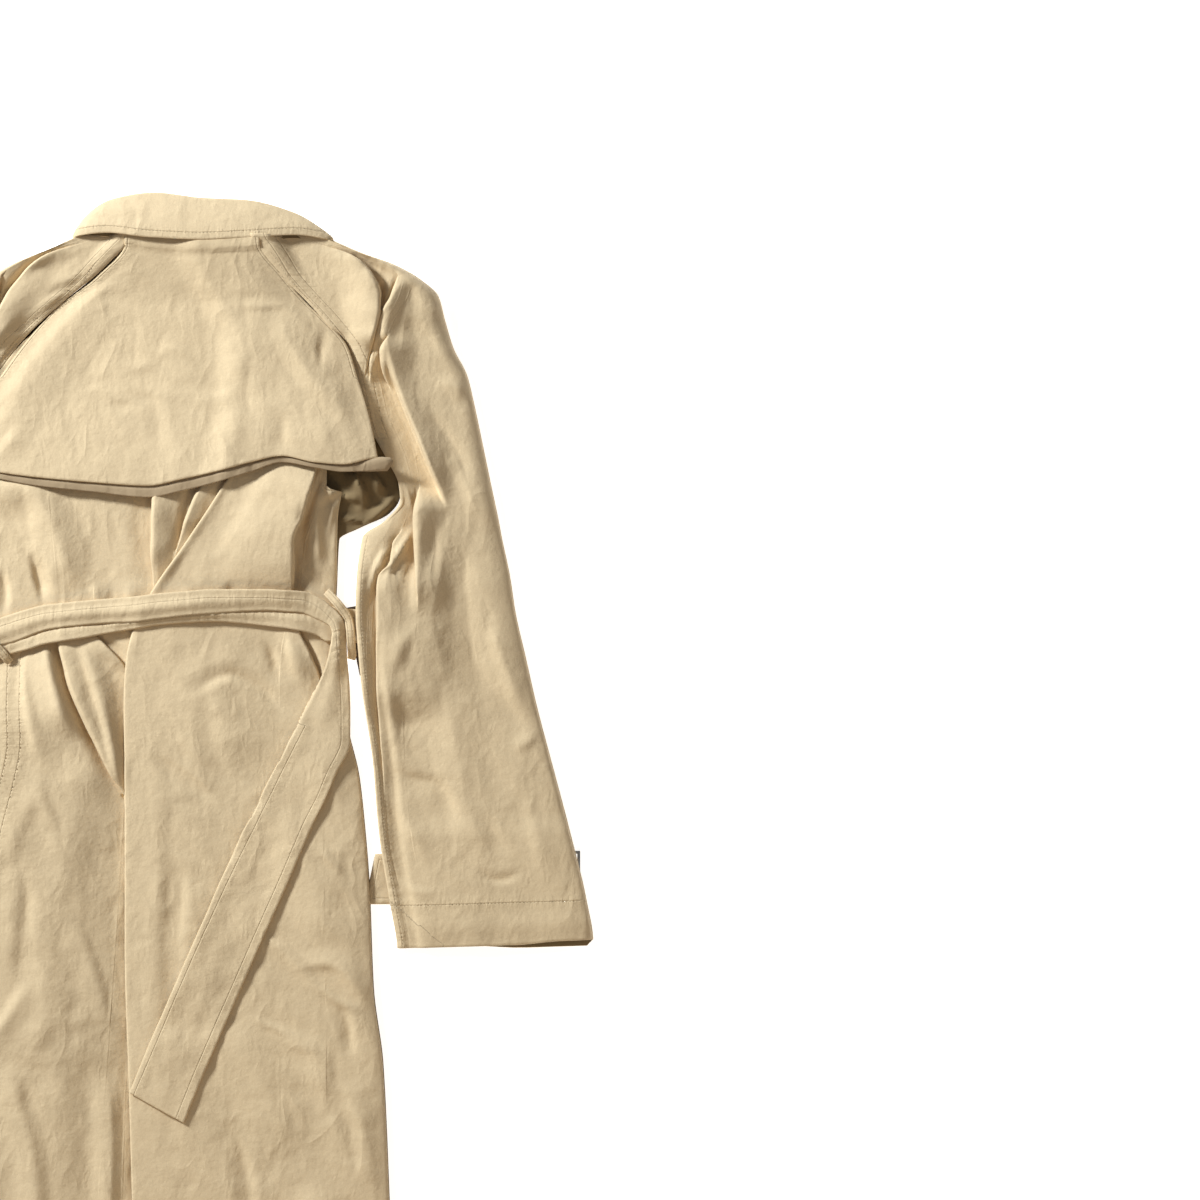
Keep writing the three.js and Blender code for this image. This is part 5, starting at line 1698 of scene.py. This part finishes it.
def make_belt():
    order = dict(BELT, row=np.arange(len(BELT["upX"]), dtype=float))
    at = np.linspace(0, len(BELT["upX"]) - 1, 470)
    up_x, up_y, down_x, down_y, level = [
        curve(order, "row", name)(at)[:, None] for name in ("upX", "upY", "downX", "downY", "level")
    ]
    width = np.hypot(up_x - down_x, up_y - down_y)
    total = np.minimum(BELT_WIDTH, 2 * width - 1.5)
    s = np.linspace(0, 1, 31)[None, :]
    reach = s * total
    folded = reach > width
    from_up = np.where(folded, 2 * width - reach, reach)
    share = from_up / width
    x, y = mix(up_x, down_x, share), mix(up_y, down_y, share)
    under = smooth((reach - width) / 2.4 + 0.5) * smooth((54 - width) / 8)
    base = ground.read(ground.spread(7), x, y) + CLEAR
    base = blurred(base, 5, 3)
    layers = 2 * STRAP + 0.5
    z = base + STRAP / 2 + (STRAP + 0.3) * smooth((56 - width) / 10) - under * (STRAP + 0.2)
    z = z + level * layers
    run = np.concatenate([[0], np.cumsum(np.hypot(np.diff(x[:, 15]), np.diff(y[:, 15])))])[:, None] + 0 * s
    edge = np.minimum(from_up, np.where(width > 50, width - from_up, 99))
    edge_in = edge + 0 * s
    loose = smooth((width - 40) / 14)
    z = z + pucker(edge_in - 8, run, 0.5, 12, 71) * (1 - 0.6 * under)
    z = z + loose * 1.4 * (swell(x, y, 26, 72) + 1) + loose * 0.5 * swell(x, y, 11, 73)
    crest = np.abs(share - 0.52)
    z = z + np.where(folded, 0, 1) * (1 - loose) * 2.4 * smooth(1 - crest / 0.36) * (0.7 + 0.5 * swell(run, run * 0, 40, 74))
    grid = stack(x, y, z)
    piece = shell("belt_cloth", grid, STRAP, GABARDINE, GABARDINE, {"away": edge_in - 8, "run": run})
    laid(piece, "cloth", (0.058, 1.28), "folded", ["back_left_cloth", "back_right_cloth"], "belt", area=area_of(grid))
    rows = np.arange(4, 466, 0.5)
    total_at = np.interp(rows, np.arange(470), total[:, 0])
    stitch_grid(grid, STRAP, rows, 8 / total_at * 30)
    flat = rows[np.interp(rows, np.arange(470), width[:, 0]) > 50]
    total_at = np.interp(flat, np.arange(470), total[:, 0])
    stitch_grid(grid, STRAP, flat, 30 - 8 / total_at * 30)
    stitch_grid(grid, STRAP, np.full(30, 466.0), np.linspace(4.2, 25.8, 30))


def make_loops():
    for name, path in (("right", LOOP_RIGHT), ("left", LOOP_LEFT)):
        order = dict(path, row=np.arange(len(path["x"]), dtype=float))
        at = np.linspace(0, len(path["x"]) - 1, 44)
        x, y, lift = [curve(order, "row", key)(at) for key in ("x", "y", "lift")]
        along = unit(np.stack([np.gradient(x), np.gradient(y)], axis=-1))
        base = ground.read(ground.spread(6), x, y)
        base = blurred(base[:, None], 4, 0)[:, 0]
        s = np.linspace(-0.5, 0.5, 9)[None, :]
        z = (base + CLEAR + CLOTH / 2 + lift)[:, None] + 0.5 * (1 - (2 * s) ** 2)
        grid = stack(x[:, None] - along[:, 1:] * LOOP_WIDTH * s, y[:, None] + along[:, :1] * LOOP_WIDTH * s, z)
        edge = (0.5 - np.abs(s)) * LOOP_WIDTH + 0 * z
        piece = shell(f"belt_loop_{name}_cloth", grid, STRAP, GABARDINE, GABARDINE, {"away": edge - 1.6, "run": y[:, None] + 0 * s})
        laid(piece, "cloth", (0.01, 0.09), "stretched", ["belt_cloth"], f"belt_loop_{name}", area=area_of(grid))
        for column in (1.8, 6.2):
            stitch_grid(grid, STRAP, np.linspace(1, 42, 90), column, 3.0)


# Buttons and buckles


def deselect():
    bpy.ops.object.select_all(action="DESELECT")


def edit_faces(piece, chosen):
    """Leaves the piece in edit mode with the chosen faces selected."""
    bpy.context.view_layer.objects.active = piece
    bpy.ops.object.mode_set(mode="EDIT")
    bpy.ops.mesh.select_mode(type="FACE")
    sides = bmesh.from_edit_mesh(piece.data)
    for face in sides.faces:
        face.select_set(chosen(face))
    bmesh.update_edit_mesh(piece.data)


def apply_modifier(piece, kind, **settings):
    made = piece.modifiers.new(kind.lower(), kind)
    for key, value in settings.items():
        setattr(made, key, value)
    bpy.context.view_layer.objects.active = piece
    bpy.ops.object.modifier_apply(modifier=made.name)


def cut_away(piece, cutter):
    apply_modifier(piece, "BOOLEAN", operation="DIFFERENCE", object=cutter, solver="EXACT")
    bpy.data.objects.remove(cutter, do_unlink=True)


def settle(piece, name, finish, node):
    """Names and finishes a modelled piece, with its place in its mesh."""
    deselect()
    piece.select_set(True)
    bpy.context.view_layer.objects.active = piece
    bpy.ops.object.transform_apply(location=True, rotation=True, scale=True)
    piece.name = name
    piece.data.name = name
    piece.data.materials.clear()
    piece.data.materials.append(finish)
    bpy.ops.object.shade_smooth_by_angle(angle=math.radians(35))
    deselect()
    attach(piece, "root")
    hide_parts(node)


def model_button():
    """A sew-through button at the origin: dished, with a rounded rim and four holes."""
    deselect()
    bpy.ops.mesh.primitive_cylinder_add(vertices=56, radius=BUTTON_RADIUS * MM, depth=BUTTON_THICK * MM)
    button = bpy.context.active_object
    edit_faces(button, lambda face: face.normal.z < -0.9)
    bpy.ops.mesh.inset(thickness=2.4 * MM)
    bpy.ops.mesh.inset(thickness=0.8 * MM)
    bpy.ops.transform.translate(value=(0, 0, 0.7 * MM))
    bpy.ops.object.mode_set(mode="OBJECT")
    for x, y in ((-1.7, -1.7), (1.7, -1.7), (1.7, 1.7), (-1.7, 1.7)):
        deselect()
        bpy.ops.mesh.primitive_cylinder_add(vertices=16, radius=0.9 * MM, depth=8 * MM, location=(x * MM, y * MM, 0))
        cut_away(button, bpy.context.active_object)
    apply_modifier(button, "BEVEL", width=0.35 * MM, segments=2, limit_method="ANGLE", angle_limit=math.radians(50))
    return button


def make_buttons():
    button = model_button()
    for number, y in enumerate((404, 300, 84, -20, -124), 1):
        copy = button.copy()
        copy.data = button.data.copy()
        bpy.context.collection.objects.link(copy)
        copy.location = (float(seam_middle(y)) * MM, y * MM, BUTTON_THICK / 2 * MM)
        settle(copy, f"button_{number}_horn", HORN, f"button_{number}")
    bpy.data.objects.remove(button, do_unlink=True)


def model_frame(size, windows, bevel):
    """A flat frame: a slab with rounded edges and windows cut through it. Windows are middle and size."""
    deselect()
    bpy.ops.mesh.primitive_cube_add(size=MM)
    slab = bpy.context.active_object
    slab.scale = size
    bpy.ops.object.transform_apply(scale=True)
    for (x, y), (across, along) in windows:
        deselect()
        bpy.ops.mesh.primitive_cube_add(size=MM, location=(x * MM, y * MM, 0))
        cutter = bpy.context.active_object
        cutter.scale = (across, along, 40)
        bpy.ops.object.transform_apply(scale=True)
        cut_away(slab, cutter)
    apply_modifier(slab, "BEVEL", width=bevel * MM, segments=3, limit_method="ANGLE", angle_limit=math.radians(40))
    return slab


def make_buckles():
    frame_piece = model_frame((45, 66, 3), [((0.5, -15), (34, 26)), ((0.5, 15), (34, 26))], 0.9)
    frame_piece.rotation_euler = (0, 0, math.radians(12))
    shift = Vector((19.5, 0, 0))
    turned = Vector((shift.x * math.cos(math.radians(12)), shift.x * math.sin(math.radians(12)), 0))
    frame_piece.location = (Vector((190, 161, 1.5)) + turned) * MM
    settle(frame_piece, "belt_buckle_horn", HORN, "belt_buckle")
    for name, end in (("right", 386), ("left", -392)):
        buckle = model_frame((16, 42, 2.2), [((0, 0), (10, 36))], 0.6)
        sign = 1 if end > 0 else -1
        buckle.location = Vector((end + 10 * sign, CUFF_STRAP_Y + (6 if sign > 0 else 6), 1.1)) * MM
        settle(buckle, f"cuff_buckle_{name}_nickel", NICKEL, f"cuff_buckle_{name}")


# Camera, light and floor


def aim(thing, target):
    direction = Vector(target) - thing.location
    thing.rotation_euler = direction.to_track_quat("-Z", "Y").to_euler()


def make_camera():
    data = bpy.data.cameras.new("camera")
    camera = bpy.data.objects.new("camera", data)
    bpy.context.collection.objects.link(camera)
    distance = 3.2
    data.sensor_width = 36
    data.lens = 36 * (distance - 0.01) / 1.14
    data.clip_end = 50
    camera.location = (0.42275, 0.20025, distance)
    camera.rotation_euler = (0, 0, 0)
    bpy.context.scene.camera = camera


def make_light(name, place, target, size, power, colour):
    data = bpy.data.lights.new(name, "AREA")
    data.shape = "RECTANGLE"
    data.size, data.size_y = size
    data.energy = power
    data.color = colour
    light = bpy.data.objects.new(name, data)
    bpy.context.collection.objects.link(light)
    light.location = place
    aim(light, target)


def make_studio():
    world = bpy.data.worlds.new("studio")
    world.use_nodes = True
    sky = world.node_tree.nodes["Background"]
    sky.inputs["Color"].default_value = (1.0, 0.99, 0.97, 1)
    sky.inputs["Strength"].default_value = 0.2
    bpy.context.scene.world = world
    make_light("window", (-2.2, 2.0, 1.5), (0.05, 0.15, 0), (0.5, 0.5), 166, (0.93, 0.985, 1.0))
    make_light("lamp", (0.9, -2.3, 1.8), (0.1, -0.1, 0), (1.2, 1.2), 19, (1.0, 0.77, 0.48))
    floor = model_floor()
    bpy.context.scene.view_settings.view_transform = "Standard"


def model_floor():
    deselect()
    bpy.ops.mesh.primitive_plane_add(size=14, location=(0, 0, -0.0004))
    floor = bpy.context.active_object
    deselect()
    floor.name = "floor"
    made, tree, shader = principled("pale floor", Roughness=0.9)
    place = tree.nodes.new("ShaderNodeTexCoord").outputs["Object"]
    grain = add_node(tree, "ShaderNodeTexNoise", Vector=place, Scale=6.0, Detail=2.0)
    ramp = add_node(tree, "ShaderNodeValToRGB", Fac=grain.outputs[0])
    ramp.color_ramp.elements[0].color = (0.93, 0.93, 0.93, 1)
    ramp.color_ramp.elements[1].color = (0.95, 0.95, 0.95, 1)
    tree.links.new(ramp.outputs[0], shader.inputs["Base Color"])
    shader.inputs["Emission Color"].default_value = (1, 1, 1, 1)
    shader.inputs["Emission Strength"].default_value = 0.75
    floor.data.materials.append(made)
    return floor


# The facing's colour is partly its own and partly painted shade: it is darkened for the shade under the shield's hem.
FACING_PAINTED_SHADE = cloth_finish("facing", (0.45, 0.335, 0.21), 0.08, 0.06, 0.4, 1.6, 0.8, 0.08)

make_camera()
make_studio()
make_fronts()
make_backs()
make_shield()
make_cuff_straps()
make_sleeves()
make_collar()
make_belt()
make_loops()
make_stitches()
make_buttons()
make_buckles()
